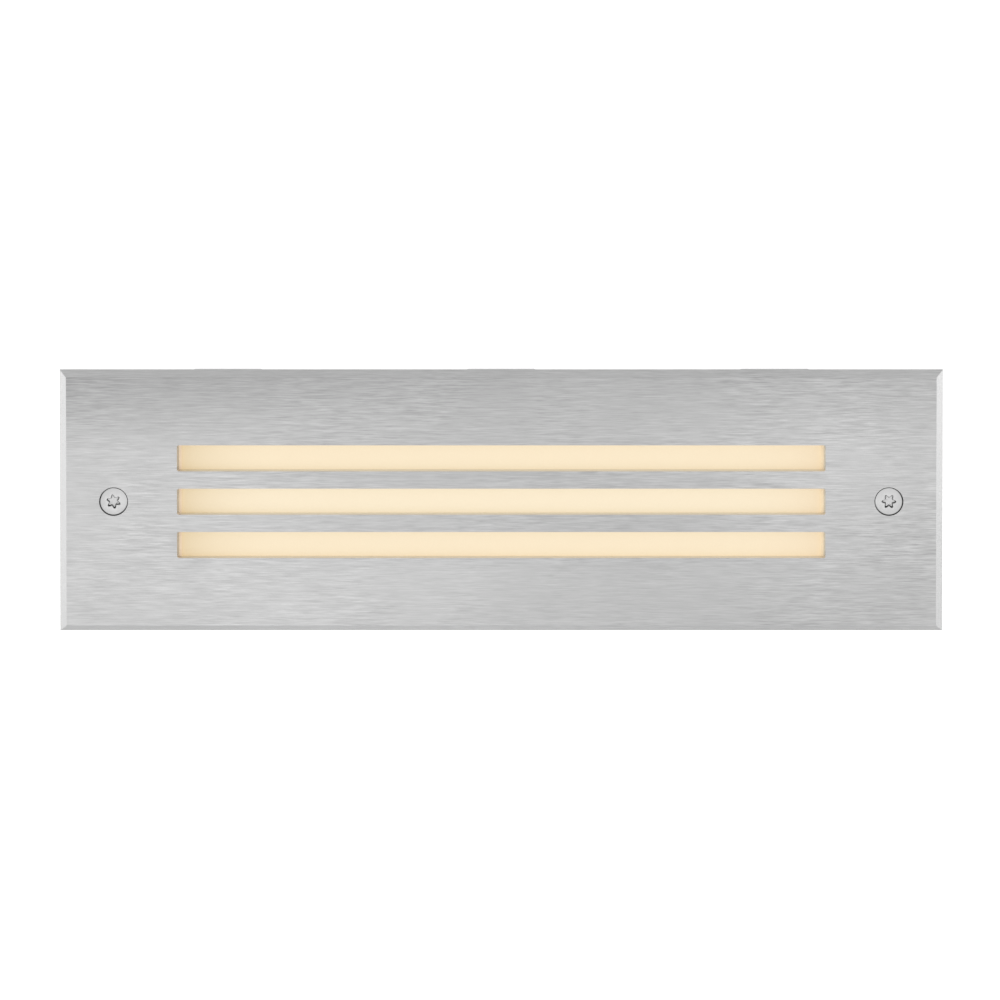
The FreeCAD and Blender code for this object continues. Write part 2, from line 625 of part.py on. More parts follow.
def face_screw(label, side):
    """A countersunk screw turned from a bar, with a six-lobe recess."""
    body = new_body(label, x=f"{side}Fits.screwX", y="Fits.plateFront + Sizes.headSink")
    head, shank, tip = worth("Sizes.screwHead") / 2, worth("Sizes.screwShank") / 2, worth("Sizes.screwLength")
    cone = head - shank
    outline = new_sketch(body, "XY_Plane")
    corners = [(0, 0), (head, 0), (shank, cone), (shank, tip), (0, tip)]
    spots = [Vector(x, y, 0) for x, y in corners]
    lines = [outline.addGeometry(Part.LineSegment(a, b)) for a, b in zip(spots, spots[1:] + spots[:1])]
    for line, following in zip(lines, lines[1:] + lines[:1]):
        constrain(outline, "Coincident", line, 2, following, 1)
    constrain(outline, "Coincident", lines[0], 1, -1, 1)
    constrain(outline, "Horizontal", lines[0])
    constrain(outline, "Vertical", lines[2])
    constrain(outline, "Horizontal", lines[3])
    constrain(outline, "Vertical", lines[4])
    constrain(outline, "DistanceX", lines[0], 1, lines[0], 2, size="Sizes.screwHead / 2")
    constrain(outline, "DistanceX", lines[4], 2, lines[2], 1, size="Sizes.screwShank / 2")
    constrain(outline, "DistanceY", lines[0], 2, lines[1], 2, size="(Sizes.screwHead - Sizes.screwShank) / 2")
    constrain(outline, "DistanceY", lines[4], 2, lines[4], 1, size="Sizes.screwLength")
    turned = body.newObject("PartDesign::Revolution", f"{label}_turned")
    turned.Profile = outline
    turned.ReferenceAxis = (outline, ["V_Axis"])
    turned.Angle = 360
    doc.recompute()
    recess = new_sketch(body)
    star(recess, "Sizes.driveWidth", "Sizes.driveCore")
    pocket(body, recess, "Sizes.driveDepth")
    return body


# ---------------------------------------------------------------- the box

def housing():
    """The cast box: walls, screw bosses, corner posts, screw seats, conduit hubs and mortar lugs."""
    body = new_body("housing", y="Fits.rim")
    depth = worth("Sizes.boxDepth")
    outline = new_sketch(body)
    rectangle(outline, "Fits.boxLength", "Fits.boxHeight", corner="Sizes.boxCorner")
    pad(body, outline, "Sizes.boxDepth")
    dress(body, "Chamfer", "Sizes.boxEdge", lambda edge: flat_at(edge, depth))
    hollow = new_sketch(body)
    rectangle(hollow, "Fits.innerLength", "Fits.innerHeight", corner="Sizes.boxCorner - Sizes.boxWall")
    pocket(body, hollow, "Fits.innerDepth")

    # bosses for the face screws run back to the hubs, so that the core draws out of the front
    boss = new_sketch(body)
    for side in ("", "-"):
        circle(boss, "Sizes.bossWidth", across=f"{side}Fits.screwX")
    pad(body, boss, "Sizes.bossDepth")
    web = new_sketch(body)
    web_end = "(Fits.innerLength / 2 + Sizes.bossWeb)"
    for side in ("", "-"):
        rectangle(web, f"{web_end} - Fits.screwX", "Sizes.bossWidth", across=f"{side}({web_end} + Fits.screwX) / 2")
    pad(body, web, "Sizes.bossDepth")

    # corner posts for the heat spreader, grown out of the long walls
    posts = new_sketch(body, at="Fits.innerDepth - Sizes.wiringDepth")
    for across, up in pairs("Fits.postX", "Fits.postZ"):
        rectangle(posts, "Sizes.postWidth", "Sizes.postReach", across, up)
    pad(body, posts, "Sizes.wiringDepth")

    # square seats on the back wall
    seats = new_sketch(body, at="Fits.innerDepth - Sizes.seatHeight")
    for across, up in seat_places():
        rectangle(seats, "Sizes.seatWidth", "Sizes.seatWidth", across, up)
    pad(body, seats, "Sizes.seatHeight")

    # conduit hubs: a round boss with a straight foot down to the back wall, at both ends
    reach = "Sizes.hubReach + Sizes.bossWeb"
    start = "Fits.innerLength / 2 - Sizes.hubReach"
    hub_y = "Fits.hubY - Fits.rim"
    hub = new_sketch(body, "YZ_Plane", at=start)
    circle(hub, "Sizes.hubWidth", across=hub_y)
    round_hub = pad(body, hub, reach)
    foot = new_sketch(body, "YZ_Plane", at=start)
    rectangle(foot, "Sizes.wiringDepth / 2", "Sizes.hubWidth", across=f"{hub_y} + Sizes.wiringDepth / 4")
    hub_foot = pad(body, foot, reach)
    bore = new_sketch(body, "YZ_Plane", at=start)
    circle(bore, "Sizes.hubBore", across=hub_y)
    hub_bore = pocket(body, bore, "Sizes.hubReach + Sizes.boxWall")
    mirror(body, [round_hub, hub_foot, hub_bore], "YZ_Plane")

    # mortar lugs, three above and three below
    lug = new_sketch(body, "XY_Plane", at="Fits.boxHeight / 2")
    first_x = "-Sizes.lugPitch * (Sizes.lugCount - 1) / 2"
    rectangle(lug, "Sizes.lugWidth", "Sizes.lugLength", first_x, "Sizes.lugSetback + Sizes.lugLength / 2")
    upper = pad(body, lug, "Sizes.lugHeight")
    under = new_sketch(body, "XY_Plane", at="-Fits.boxHeight / 2")
    rectangle(under, "Sizes.lugWidth", "Sizes.lugLength", first_x, "Sizes.lugSetback + Sizes.lugLength / 2")
    lower = pad(body, under, "Sizes.lugHeight", forward=False)
    row(body, [upper, lower], "X_Axis", "Sizes.lugPitch * (Sizes.lugCount - 1)", "Sizes.lugCount")

    # holes: the bosses, the posts and the seats
    wells = new_sketch(body)
    for side in ("", "-"):
        circle(wells, "Sizes.insertWidth", across=f"{side}Fits.screwX")
    pocket(body, wells, "Sizes.tapDepth")
    taps = new_sketch(body, at="Fits.innerDepth - Sizes.wiringDepth")
    for across, up in opposite("Fits.postX", "Fits.postZ"):
        circle(taps, "Fits.boltHole", across, up)
    pocket(body, taps, "Sizes.postBite")
    small = new_sketch(body, at="Fits.innerDepth - Sizes.seatHeight")
    for across, up in seat_places()[:-1]:
        circle(small, "Fits.boltHole", across, up)
    pocket(body, small, "Sizes.seatBite")
    ground = new_sketch(body, at="Fits.innerDepth - Sizes.seatHeight")
    circle(ground, "Sizes.groundShank + 2 * Sizes.runGap", *seat_places()[-1])
    pocket(body, ground, "Sizes.groundBite")
    return body


def seat_places():
    """Where things are screwed to the back wall: the driver's two tabs, the terminal block and the ground."""
    return driver_places() + [("Fits.blockX", "0"), ("-Fits.groundX", "-Fits.groundZ")]


def driver_places():
    return [("-Fits.driverX - Fits.driverTabX", "0"), ("-Fits.driverX + Fits.driverTabX", "0")]


def threaded_inserts():
    body = new_body("threaded_inserts", y="Fits.rim + Sizes.insertSink")
    sketch = new_sketch(body)
    for side in ("", "-"):
        circle(sketch, "Sizes.insertWidth", across=f"{side}Fits.screwX")
        circle(sketch, "Sizes.screwShank + 2 * Sizes.runGap", across=f"{side}Fits.screwX")
    pad(body, sketch, "Sizes.insertLength")
    return body


def entry_plug():
    """A plug that closes the unused conduit entry, turned by a hexagon key from outside."""
    body = new_body("entry_plug", x="-Fits.boxEnd - Sizes.sealThick", y="Fits.hubY")
    flange = new_sketch(body, "YZ_Plane")
    circle(flange, "Sizes.entryFlange")
    pad(body, flange, "Sizes.entryFlangeThick", forward=False)
    thread = new_sketch(body, "YZ_Plane")
    circle(thread, "Fits.threadWidth")
    pad(body, thread, "Sizes.entryThread + Sizes.sealThick")
    socket = new_sketch(body, "YZ_Plane", at="-Sizes.entryFlangeThick")
    hexagon(socket, "Sizes.entrySocket")
    pocket(body, socket, "Sizes.entrySocketDepth")
    return body


def plug_seal():
    """A flat ring seal round the plug's thread, between its flange and the end wall."""
    body = new_body("plug_seal", x="-Fits.boxEnd", y="Fits.hubY")
    ring = new_sketch(body, "YZ_Plane")
    circle(ring, "Sizes.sealWidth")
    circle(ring, "Sizes.hubBore")
    pad(body, ring, "Sizes.sealThick", forward=False)
    return body


# ---------------------------------------------------------------- the light engine

def hex_screws(label, places, seat, length):
    """Hexagon-head screws of one kind, their heads in front of a seat."""
    body = new_body(label, y=seat)
    heads = new_sketch(body)
    shanks = new_sketch(body)
    for across, up in places:
        hexagon(heads, "Sizes.boltHead", across, up)
        circle(shanks, "Sizes.boltShank", across, up)
    pad(body, heads, "Sizes.boltHeadThick", forward=False)
    pad(body, shanks, length)
    return body


def reflector():
    """A white funnel from the LED board to the lens, on four pillars, with a flange round its mouth.

    Screws through two opposite pillars hold the heat spreader too; the throat presses the board on its pad.
    """
    body = new_body("reflector", y="Fits.reflectorFront")
    wall = "2 * Sizes.reflectorWall"
    flange = new_sketch(body)
    rectangle(flange, "Fits.reflectorLength", "Fits.reflectorHeight")
    pad(body, flange, "Sizes.reflectorWall")

    def funnel(kind, margin):
        mouth = new_sketch(body)
        rectangle(mouth, f"Fits.mouthLength + {margin}", f"Sizes.mouthHeight + {margin}")
        throat = new_sketch(body, at="Fits.funnelDepth")
        rectangle(throat, f"Fits.throatLength + {margin}", f"Sizes.throatHeight + {margin}")
        loft = body.newObject(f"PartDesign::{kind}", f"funnel_{kind.lower()}")
        loft.Profile = mouth
        loft.Sections = [throat]
        loft.Ruled = True
        doc.recompute()

    funnel("AdditiveLoft", wall)
    pillars = new_sketch(body)
    for across, up in pairs("Fits.postX", "Fits.postZ"):
        rectangle(pillars, "Sizes.pillarWidth", "Sizes.pillarWidth", across, up)
    pad(body, pillars, "Fits.spreaderFront - Fits.reflectorFront")
    funnel("SubtractiveLoft", "0")
    bores = new_sketch(body)
    for across, up in opposite("Fits.postX", "Fits.postZ"):
        circle(bores, "Fits.boltHole", across, up)
    pocket(body, bores)
    return body


def led_board():
    body = new_body("led_board", y="Fits.boardFront")
    outline = new_sketch(body)
    rectangle(outline, "Fits.boardLength", "Sizes.boardHeight")
    pad(body, outline, "Sizes.boardThick")
    return body


def leds():
    body = new_body("leds", y="Fits.boardFront")
    for width, at, thick in (("Sizes.ledSize", "0", "Sizes.ledThick"),
                             ("Sizes.ledLens", "-Sizes.ledThick", "Sizes.ledLensThick")):
        sketch = new_sketch(body, at=at)
        rectangle(sketch, width, width, across="-Fits.ledRow / 2")
        pad(body, sketch, thick, forward=False)
    features = [part for part in body.Group if part.TypeId == "PartDesign::Pad"]
    row(body, features, "X_Axis", "Fits.ledRow", "Sizes.ledCount")
    return body


def led_connector():
    body = new_body("led_connector", x="-Fits.plugX", y="Fits.boardFront")
    outline = new_sketch(body)
    rectangle(outline, "Sizes.plugLength", "Sizes.plugHeight")
    pad(body, outline, "Sizes.plugThick", forward=False)
    top = -worth("Sizes.plugThick")
    dress(body, "Chamfer", "Sizes.plugEdge", lambda edge: flat_at(edge, top))
    return body


def thermal_pad():
    body = new_body("thermal_pad", y="Fits.padFront")
    outline = new_sketch(body)
    rectangle(outline, "Fits.boardLength - 2 * Sizes.padInset", "Sizes.boardHeight - 2 * Sizes.padInset")
    pad(body, outline, "Sizes.padThick")
    return body


def heat_spreader():
    body = new_body("heat_spreader", y="Fits.spreaderFront")
    outline = new_sketch(body)
    rectangle(outline, "Fits.spreaderLength", "Fits.spreaderHeight")
    for across, up in opposite("Fits.postX", "Fits.postZ"):
        circle(outline, "Fits.boltHole", across, up)
    circle(outline, "Sizes.grommetHole", across="-Fits.grommetX")
    pad(body, outline, "Sizes.spreaderThick")
    return body


def lead_grommet():
    """A rubber ring in the heat spreader, wider on both faces than its hole."""
    body = new_body("lead_grommet", x="-Fits.grommetX", y="Fits.spreaderFront - Sizes.grommetLip")
    layers = [
        ("0", "Sizes.grommetLip", "Sizes.grommetWidth"),
        ("Sizes.grommetLip", "Sizes.spreaderThick", "Sizes.grommetHole"),
        ("Sizes.grommetLip + Sizes.spreaderThick", "Sizes.grommetLip", "Sizes.grommetWidth"),
    ]
    for at, thick, width in layers:
        ring = new_sketch(body, at=at)
        circle(ring, width)
        circle(ring, "Sizes.grommetBore")
        pad(body, ring, thick)
    return body


# ---------------------------------------------------------------- the supply side

def led_driver():
    """A potted driver: a case with a fixing tab at each end."""
    body = new_body("led_driver", x="-Fits.driverX", y="Fits.driverFront")
    case = new_sketch(body)
    rectangle(case, "Sizes.driverLength", "Sizes.driverWidth", corner="Sizes.driverCorner")
    pad(body, case, "Sizes.driverThick")
    tabs = new_sketch(body, at="Sizes.driverThick - Sizes.tabThick")
    rectangle(tabs, "Sizes.driverLength + 2 * Sizes.tabLength", "Sizes.tabWidth")
    pad(body, tabs, "Sizes.tabThick")
    holes = new_sketch(body, at="Sizes.driverThick - Sizes.tabThick")
    for side in ("", "-"):
        circle(holes, "Fits.boltHole", across=f"{side}Fits.driverTabX")
    pocket(body, holes)
    return body


def terminal_block():
    """A three-pole push-in block: a wire entry at each end of a pole, with a pocket for its release button."""
    body = new_body("terminal_block", x="Fits.blockX", y="Fits.blockFront")
    outline = new_sketch(body)
    rectangle(outline, "Sizes.blockLength", "Fits.blockHeight")
    pad(body, outline, "Sizes.blockThick")
    lowest = "-Sizes.polePitch * (Sizes.poleCount - 1) / 2"
    cuts = []
    for end, inwards in (("-Sizes.blockLength / 2", True), ("Sizes.blockLength / 2", False)):
        entry = new_sketch(body, "YZ_Plane", at=end)
        rectangle(entry, "Sizes.wireHole", "Sizes.wireHole", across="Sizes.blockThick / 2", up=lowest)
        cuts.append(pocket(body, entry, "Sizes.wireHoleDepth", forward=inwards))
    wells = new_sketch(body)
    for side in ("", "-"):
        rectangle(wells, "Sizes.buttonLength + 2 * Sizes.buttonGap", "Sizes.buttonWidth + 2 * Sizes.buttonGap",
                  across=f"{side}Sizes.buttonPlace", up=lowest)
    cuts.append(pocket(body, wells, "Sizes.buttonSink"))
    row(body, cuts, "Z_Axis", "Sizes.polePitch * (Sizes.poleCount - 1)", "Sizes.poleCount")
    grooves = new_sketch(body)
    for side in ("", "-"):
        rectangle(grooves, "Sizes.blockLength + Sizes.barrierWidth", "Sizes.barrierWidth",
                  up=f"{side}Sizes.polePitch / 2")
    pocket(body, grooves, "Sizes.barrierDepth")
    bore = new_sketch(body)
    circle(bore, "Fits.boltHole")
    pocket(body, bore)
    return body


def terminal_buttons():
    """The release buttons of the terminal block, one to each wire entry."""
    body = new_body("terminal_buttons", x="Fits.blockX", y="Fits.blockFront + Sizes.buttonSink")
    buttons = new_sketch(body)
    for side in ("", "-"):
        rectangle(buttons, "Sizes.buttonLength", "Sizes.buttonWidth", across=f"{side}Sizes.buttonPlace",
                  up="-Sizes.polePitch * (Sizes.poleCount - 1) / 2")
    first = pad(body, buttons, "Sizes.buttonThick", forward=False)
    row(body, [first], "Z_Axis", "Sizes.polePitch * (Sizes.poleCount - 1)", "Sizes.poleCount")
    return body


def ground_ring():
    """A ring terminal lying on its seat, its barrel towards the terminal block."""
    body = new_body("ground_ring", x="-Fits.groundX", y="Fits.seatFront - Sizes.ringThick",
                    z="-Fits.groundZ")
    ring = new_sketch(body)
    circle(ring, "Sizes.ringWidth")
    pad(body, ring, "Sizes.ringThick")
    barrel = new_sketch(body, "YZ_Plane", at="Sizes.ringWidth / 2 + Sizes.ringThick")
    circle(barrel, "Sizes.barrelWidth", across="Sizes.ringThick - Sizes.barrelWidth / 2")
    pad(body, barrel, "Sizes.barrelLength")
    tongue = new_sketch(body)
    rectangle(tongue, "Sizes.ringWidth / 2 + Sizes.ringThick", "Sizes.barrelWidth",
              across="(Sizes.ringWidth / 2 + Sizes.ringThick) / 2")
    pad(body, tongue, "Sizes.ringThick")
    hole = new_sketch(body)
    circle(hole, "Sizes.ringHole")
    pocket(body, hole)
    return body


def ground_screw():
    body = new_body("ground_screw", x="-Fits.groundX", y="Fits.seatFront - Sizes.ringThick",
                    z="-Fits.groundZ")
    head = new_sketch(body)
    hexagon(head, "Sizes.groundHead")
    pad(body, head, "Sizes.groundHeadThick", forward=False)
    shank = new_sketch(body)
    circle(shank, "Sizes.groundShank")
    pad(body, shank, "Sizes.ringThick + Sizes.groundBite")
    return body


# ---------------------------------------------------------------- leads

LEAD_SIDES = 6


def rounded_route(points, radii):
    """Straight runs joined by tangent arcs, one radius for each inner point."""
    edges = []
    start = points[0]
    for before, corner, after, radius in zip(points, points[1:], points[2:], radii):
        back = (before - corner).normalize()
        ahead = (after - corner).normalize()
        half = back.getAngle(ahead) / 2
        reach = radius / math.tan(half)
        leave, meet = corner + back * reach, corner + ahead * reach
        inward = (back + ahead).normalize()
        middle = corner + inward * (radius / math.sin(half) - radius)
        edges.append(Part.LineSegment(start, leave).toShape())
        edges.append(Part.Arc(leave, middle, meet).toShape())
        start = meet
    edges.append(Part.LineSegment(start, points[-1]).toShape())
    return Part.Wire(edges)


def open_radii(points, share=0.45):
    """The largest radius that each corner's two runs leave room for."""
    radii = []
    for before, corner, after in zip(points, points[1:], points[2:]):
        turn = math.pi - (before - corner).getAngle(after - corner)
        shorter = min(before.distanceToPoint(corner), after.distanceToPoint(corner))
        radii.append(share * shorter / math.tan(turn / 2))
    return radii


def lead(label, width, places, radii=None):
    """An insulated lead along its route, in the object's own frame, its section a hexagon."""
    points = [Vector(*(worth(place) for place in spot)) for spot in places]
    radii = radii or open_radii(points)
    route = rounded_route(points, radii)
    half = worth(width) / 2
    along = (points[1] - points[0]).normalize()
    up = Vector(0, 0, half / math.cos(math.pi / LEAD_SIDES))
    corners = [points[0] + Rotation(along, 360 * (turn + 0.5) / LEAD_SIDES).multVec(up)
               for turn in range(LEAD_SIDES)]
    ring = Part.makePolygon(corners + corners[:1])
    piece = doc.addObject("Part::Feature", label)
    piece.Label = label
    piece.Shape = route.makePipeShell([ring], True, False)
    piece.Placement = Placement()
    expected = LEAD_SIDES * math.tan(math.pi / LEAD_SIDES) * half ** 2 * route.Length
    print(f"{label}: length {route.Length:.1f}, radii {[round(radius, 1) for radius in radii]}, "
          f"volume {piece.Shape.Volume:.1f} of {expected:.1f}")
    return piece


def led_lead(label, side):
    """From the driver's end through the grommet to the board connector."""
    z = f"{side}(Sizes.ledLead + Sizes.ledLeadGap) / 2"
    plug_y = "Fits.boardFront - Sizes.plugThick / 2"
    places = [
        ("-Fits.driverX - Sizes.driverLength / 2", "Fits.leadY", z),
        ("-Fits.grommetX", "Fits.leadY", z),
        ("-Fits.grommetX", plug_y, z),
        ("-Fits.plugX - Sizes.plugLength / 2", plug_y, z),
    ]
    return lead(label, "Sizes.ledLead", places, lead_bends(places))


def lead_bends(places):
    """The bend behind the spreader is wide; the one at the connector fills its short run."""
    first, second, third, fourth = [Vector(*(worth(place) for place in spot)) for spot in places]
    stub = worth("Sizes.leadStub")
    tight = third.distanceToPoint(fourth) - stub
    wide = min(first.distanceToPoint(second), second.distanceToPoint(third) - tight) - stub
    return [wide, tight]


def supply_lead(label, driver_z, pole_z):
    """From the driver's end to a pole of the terminal block, in one easy double bend."""
    start_x = "Sizes.driverLength / 2 - Fits.driverX"
    end_x = "Fits.blockX - Sizes.blockLength / 2"
    places = [
        (start_x, "Fits.leadY", driver_z),
        (f"{start_x} + Sizes.leadRun / 3", "Fits.leadY", driver_z),
        (f"{start_x} + Sizes.leadRun * 2 / 3", "Fits.wireY", pole_z),
        (f"{end_x} + Sizes.wireHoleDepth - Sizes.supplyLead / 2", "Fits.wireY", pole_z),
    ]
    return lead(label, "Sizes.supplyLead", places)


def ground_lead():
    """From the ring terminal's barrel up to the lowest pole of the terminal block."""
    start_x = "Sizes.ringWidth / 2 + Sizes.ringThick + Sizes.barrelLength - Fits.groundX"
    end_x = "Fits.blockX - Sizes.blockLength / 2"
    span = f"({end_x} - ({start_x}))"
    start_y = "Fits.seatFront - Sizes.barrelWidth / 2"
    places = [
        (start_x, start_y, "-Fits.groundZ"),
        (f"{start_x} + {span} / 3", start_y, "-Fits.groundZ"),
        (f"{start_x} + {span} * 2 / 3", "Fits.wireY", "-Sizes.polePitch"),
        (f"{end_x} + Sizes.wireHoleDepth - Sizes.supplyLead / 2", "Fits.wireY", "-Sizes.polePitch"),
    ]
    return lead("ground_lead", "Sizes.supplyLead", places)


# ---------------------------------------------------------------- build, check and write

parts = [
    faceplate(),
    faceplate_studs(),
    faceplate_gasket(),
    lens_gasket(),
    lens(),
    lens_bracket(),
    bracket_nuts(),
    screw_retainers(),
    face_screw("left_face_screw", "-"),
    face_screw("right_face_screw", ""),
    housing(),
    threaded_inserts(),
    entry_plug(),
    plug_seal(),
    reflector(),
    hex_screws("reflector_screws", opposite("Fits.postX", "Fits.postZ"), "Fits.reflectorFront",
               "Fits.spreaderBack - Fits.reflectorFront + Sizes.postBite - Sizes.runGap"),
    led_board(),
    leds(),
    led_connector(),
    thermal_pad(),
    heat_spreader(),
    lead_grommet(),
    led_driver(),
    hex_screws("driver_screws", driver_places(), "Fits.seatFront - Sizes.tabThick",
               "Sizes.tabThick + Sizes.seatBite - Sizes.runGap"),
    terminal_block(),
    terminal_buttons(),
    hex_screws("terminal_block_screw", [("Fits.blockX", "0")], "Fits.blockFront",
               "Sizes.blockThick + Sizes.seatBite - Sizes.runGap"),
    ground_ring(),
    ground_screw(),
    led_lead("led_lead_positive", ""),
    led_lead("led_lead_negative", "-"),
    supply_lead("live_lead", "Fits.leadZ", "Sizes.polePitch"),
    supply_lead("neutral_lead", "-Fits.leadZ", "0"),
    ground_lead(),
]
doc.recompute()

for item in doc.Objects:
    if "Invalid" in item.State or "Error" in item.State:
        raise ValueError(f"{item.Label} failed: {item.State}")
for piece in parts:
    if piece.Shape.isNull() or not piece.Shape.isValid() or not piece.Shape.Solids:
        raise ValueError(f"{piece.Label} has no sound shape")

os.makedirs("parts", exist_ok=True)
for piece in parts:
    piece.Shape.exportStep(f"parts/{piece.Label}.step")
print(len(parts), "sub-parts written")
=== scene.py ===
import math

import bmesh
import bpy
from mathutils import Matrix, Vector


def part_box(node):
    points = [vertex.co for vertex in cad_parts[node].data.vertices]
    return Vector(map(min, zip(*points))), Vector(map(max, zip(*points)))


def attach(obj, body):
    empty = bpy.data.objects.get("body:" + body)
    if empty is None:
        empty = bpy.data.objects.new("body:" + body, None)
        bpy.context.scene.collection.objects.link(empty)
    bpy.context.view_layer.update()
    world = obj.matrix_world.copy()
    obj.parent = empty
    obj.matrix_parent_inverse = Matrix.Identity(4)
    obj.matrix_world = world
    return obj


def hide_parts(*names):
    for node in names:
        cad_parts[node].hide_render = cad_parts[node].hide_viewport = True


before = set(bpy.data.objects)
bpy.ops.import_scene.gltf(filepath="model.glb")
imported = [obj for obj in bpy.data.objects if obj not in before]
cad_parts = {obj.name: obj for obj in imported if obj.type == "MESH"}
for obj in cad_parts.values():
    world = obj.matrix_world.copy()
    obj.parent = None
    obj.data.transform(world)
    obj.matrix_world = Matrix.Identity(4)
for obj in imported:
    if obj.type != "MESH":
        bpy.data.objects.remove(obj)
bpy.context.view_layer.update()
scene = bpy.context.scene

# The camera stands far off, straight in front of the plate and above it.
camera = {
    "azimuth": 0.0,  # degrees, to the right
    "elevation": 10.0,
    "distance": 7.0,
    "frameWidth": 0.28759,  # metres of the plate's plane across the image
    "target": (-0.00036, -0.005, 0.0005),
    "sensor": 36.0,
    "clip": (0.1, 60.0),
}


def makeCamera():
    data = bpy.data.cameras.new("camera")
    data.sensor_width = camera["sensor"]
    data.lens = camera["sensor"] * camera["distance"] / camera["frameWidth"]
    data.clip_start, data.clip_end = camera["clip"]
    azimuth, elevation = (math.radians(camera[key]) for key in ("azimuth", "elevation"))
    back = Vector((math.sin(azimuth) * math.cos(elevation), -math.cos(azimuth) * math.cos(elevation),
                   math.sin(elevation)))
    item = bpy.data.objects.new("camera", data)
    item.location = Vector(camera["target"]) + back * camera["distance"]
    item.rotation_mode = "QUATERNION"
    item.rotation_quaternion = (-back).to_track_quat("-Z", "Y")
    scene.collection.objects.link(item)
    scene.camera = item


makeCamera()
print("camera made")


# Shader nodes: a value is written on the socket, a socket is linked to it.
def addNode(tree, kind, inputs=None, **settings):
    node = tree.nodes.new("ShaderNode" + kind)
    for name, value in settings.items():
        setattr(node, name, value)
    for name, value in (inputs or {}).items():
        if isinstance(value, bpy.types.NodeSocket):
            tree.links.new(value, node.inputs[name])
        else:
            node.inputs[name].default_value = value
    return node


def combine(tree, operation, first, second=0.0):
    return addNode(tree, "Math", {0: first, 1: second}, operation=operation).outputs[0]


def multiply(tree, first, *others):
    for other in others:
        first = combine(tree, "MULTIPLY", first, other)
    return first


def absolute(tree, value):
    return combine(tree, "ABSOLUTE", value)


def rescale(tree, value, fromMin, fromMax, toMin=0.0, toMax=1.0):
    # the result stays between toMin and toMax
    node = addNode(tree, "MapRange", {"Value": value, "From Min": fromMin, "From Max": fromMax,
                                      "To Min": toMin, "To Max": toMax})
    return node.outputs[0]


def mixColours(tree, amount, first, second):
    node = addNode(tree, "Mix", data_type="RGBA")
    for socket, value in ((node.inputs[0], amount), (node.inputs[6], first), (node.inputs[7], second)):
        if isinstance(value, bpy.types.NodeSocket):
            tree.links.new(value, socket)
        else:
            socket.default_value = value
    return node.outputs[2]


def newGroup(name, inputs, outputs):
    tree = bpy.data.node_groups.new(name, "ShaderNodeTree")
    for label, value in inputs.items():
        socket = tree.interface.new_socket(label, in_out="INPUT", socket_type="NodeSocketFloat")
        socket.default_value = value
    for label in outputs:
        tree.interface.new_socket(label, in_out="OUTPUT", socket_type="NodeSocketFloat")
    return tree, tree.nodes.new("NodeGroupInput").outputs, tree.nodes.new("NodeGroupOutput").inputs


def objectPoint(tree):
    return addNode(tree, "TexCoord").outputs["Object"]


def objectParts(tree):
    return addNode(tree, "SeparateXYZ", {0: objectPoint(tree)}).outputs


def noiseAt(tree, scale, detail=3.0, roughness=0.55):
    # scale is three values or sockets, in features to a metre
    stretch = addNode(tree, "CombineXYZ", dict(enumerate(scale)))
    point = addNode(tree, "VectorMath", {0: objectPoint(tree), 1: stretch.outputs[0]}, operation="MULTIPLY")
    noise = addNode(tree, "TexNoise", {"Vector": point.outputs[0], "Scale": 1.0, "Detail": detail,
                                       "Roughness": roughness})
    return noise.outputs[0]


# Brushing: fine streaks, longer and wider ones over them and a few bright scratches.
brushed = {
    "fineShare": 0.85,
    "broadShare": 0.15,
    "broadLength": 0.4,  # as shares of the fine streaks' features to a metre
    "broadWidth": 0.45,
    "spread": (0.3, 0.7),  # the part of the noise that runs from dark to light
    "scratchSpread": (0.72, 0.8),
    "roughSwing": 0.05,
    "reliefDepth": 0.00004,
}


def makeBrushing():
    tree, given, result = newGroup("brushing", {"Across": 3000.0, "Along": 60.0}, ("Streak", "Scratch"))
    fine = noiseAt(tree, (given["Along"], given["Across"], given["Across"]))
    slow = multiply(tree, given["Along"], brushed["broadLength"])
    wide = multiply(tree, given["Across"], brushed["broadWidth"])
    broad = noiseAt(tree, (slow, wide, wide), detail=2.0)
    both = combine(tree, "ADD", multiply(tree, fine, brushed["fineShare"]),
                   multiply(tree, broad, brushed["broadShare"]))
    tree.links.new(rescale(tree, both, *brushed["spread"]), result["Streak"])
    thin = noiseAt(tree, (slow, given["Across"], given["Across"]), detail=0.0)
    tree.links.new(rescale(tree, thin, *brushed["scratchSpread"]), result["Scratch"])
    return tree


# Soft clouds from handling and finishing, and the smaller smudges in them.
clouding = {"cloudSpread": (0.3, 0.7), "smudgeScale": 6.0, "smudgeSpread": (0.55, 0.75)}


def makePatina():
    tree, given, result = newGroup("patina", {"Size": 20.0}, ("Cloud", "Smudge"))
    size = given["Size"]
    cloud = noiseAt(tree, (size, size, size), detail=2.0)
    tree.links.new(rescale(tree, cloud, *clouding["cloudSpread"]), result["Cloud"])
    small = multiply(tree, size, clouding["smudgeScale"])
    smudge = noiseAt(tree, (small, small, small), detail=5.0, roughness=0.7)
    tree.links.new(rescale(tree, smudge, *clouding["smudgeSpread"]), result["Smudge"])
    return tree


# The skin of a moulding, a casting or a coat of powder.
graining = {"fleckScale": 1.7, "fleckSpread": (0.62, 0.72), "heightSpread": (0.3, 0.7)}


def makeGrain():
    tree, given, result = newGroup("grain", {"Size": 2500.0}, ("Height", "Fleck"))
    size = given["Size"]
    height = noiseAt(tree, (size, size, size), detail=4.0, roughness=0.6)
    tree.links.new(height, result["Height"])
    fleckSize = multiply(tree, size, graining["fleckScale"])
    flecks = noiseAt(tree, (fleckSize, fleckSize, fleckSize), detail=0.0)
    tree.links.new(rescale(tree, flecks, *graining["fleckSpread"]), result["Fleck"])
    return tree


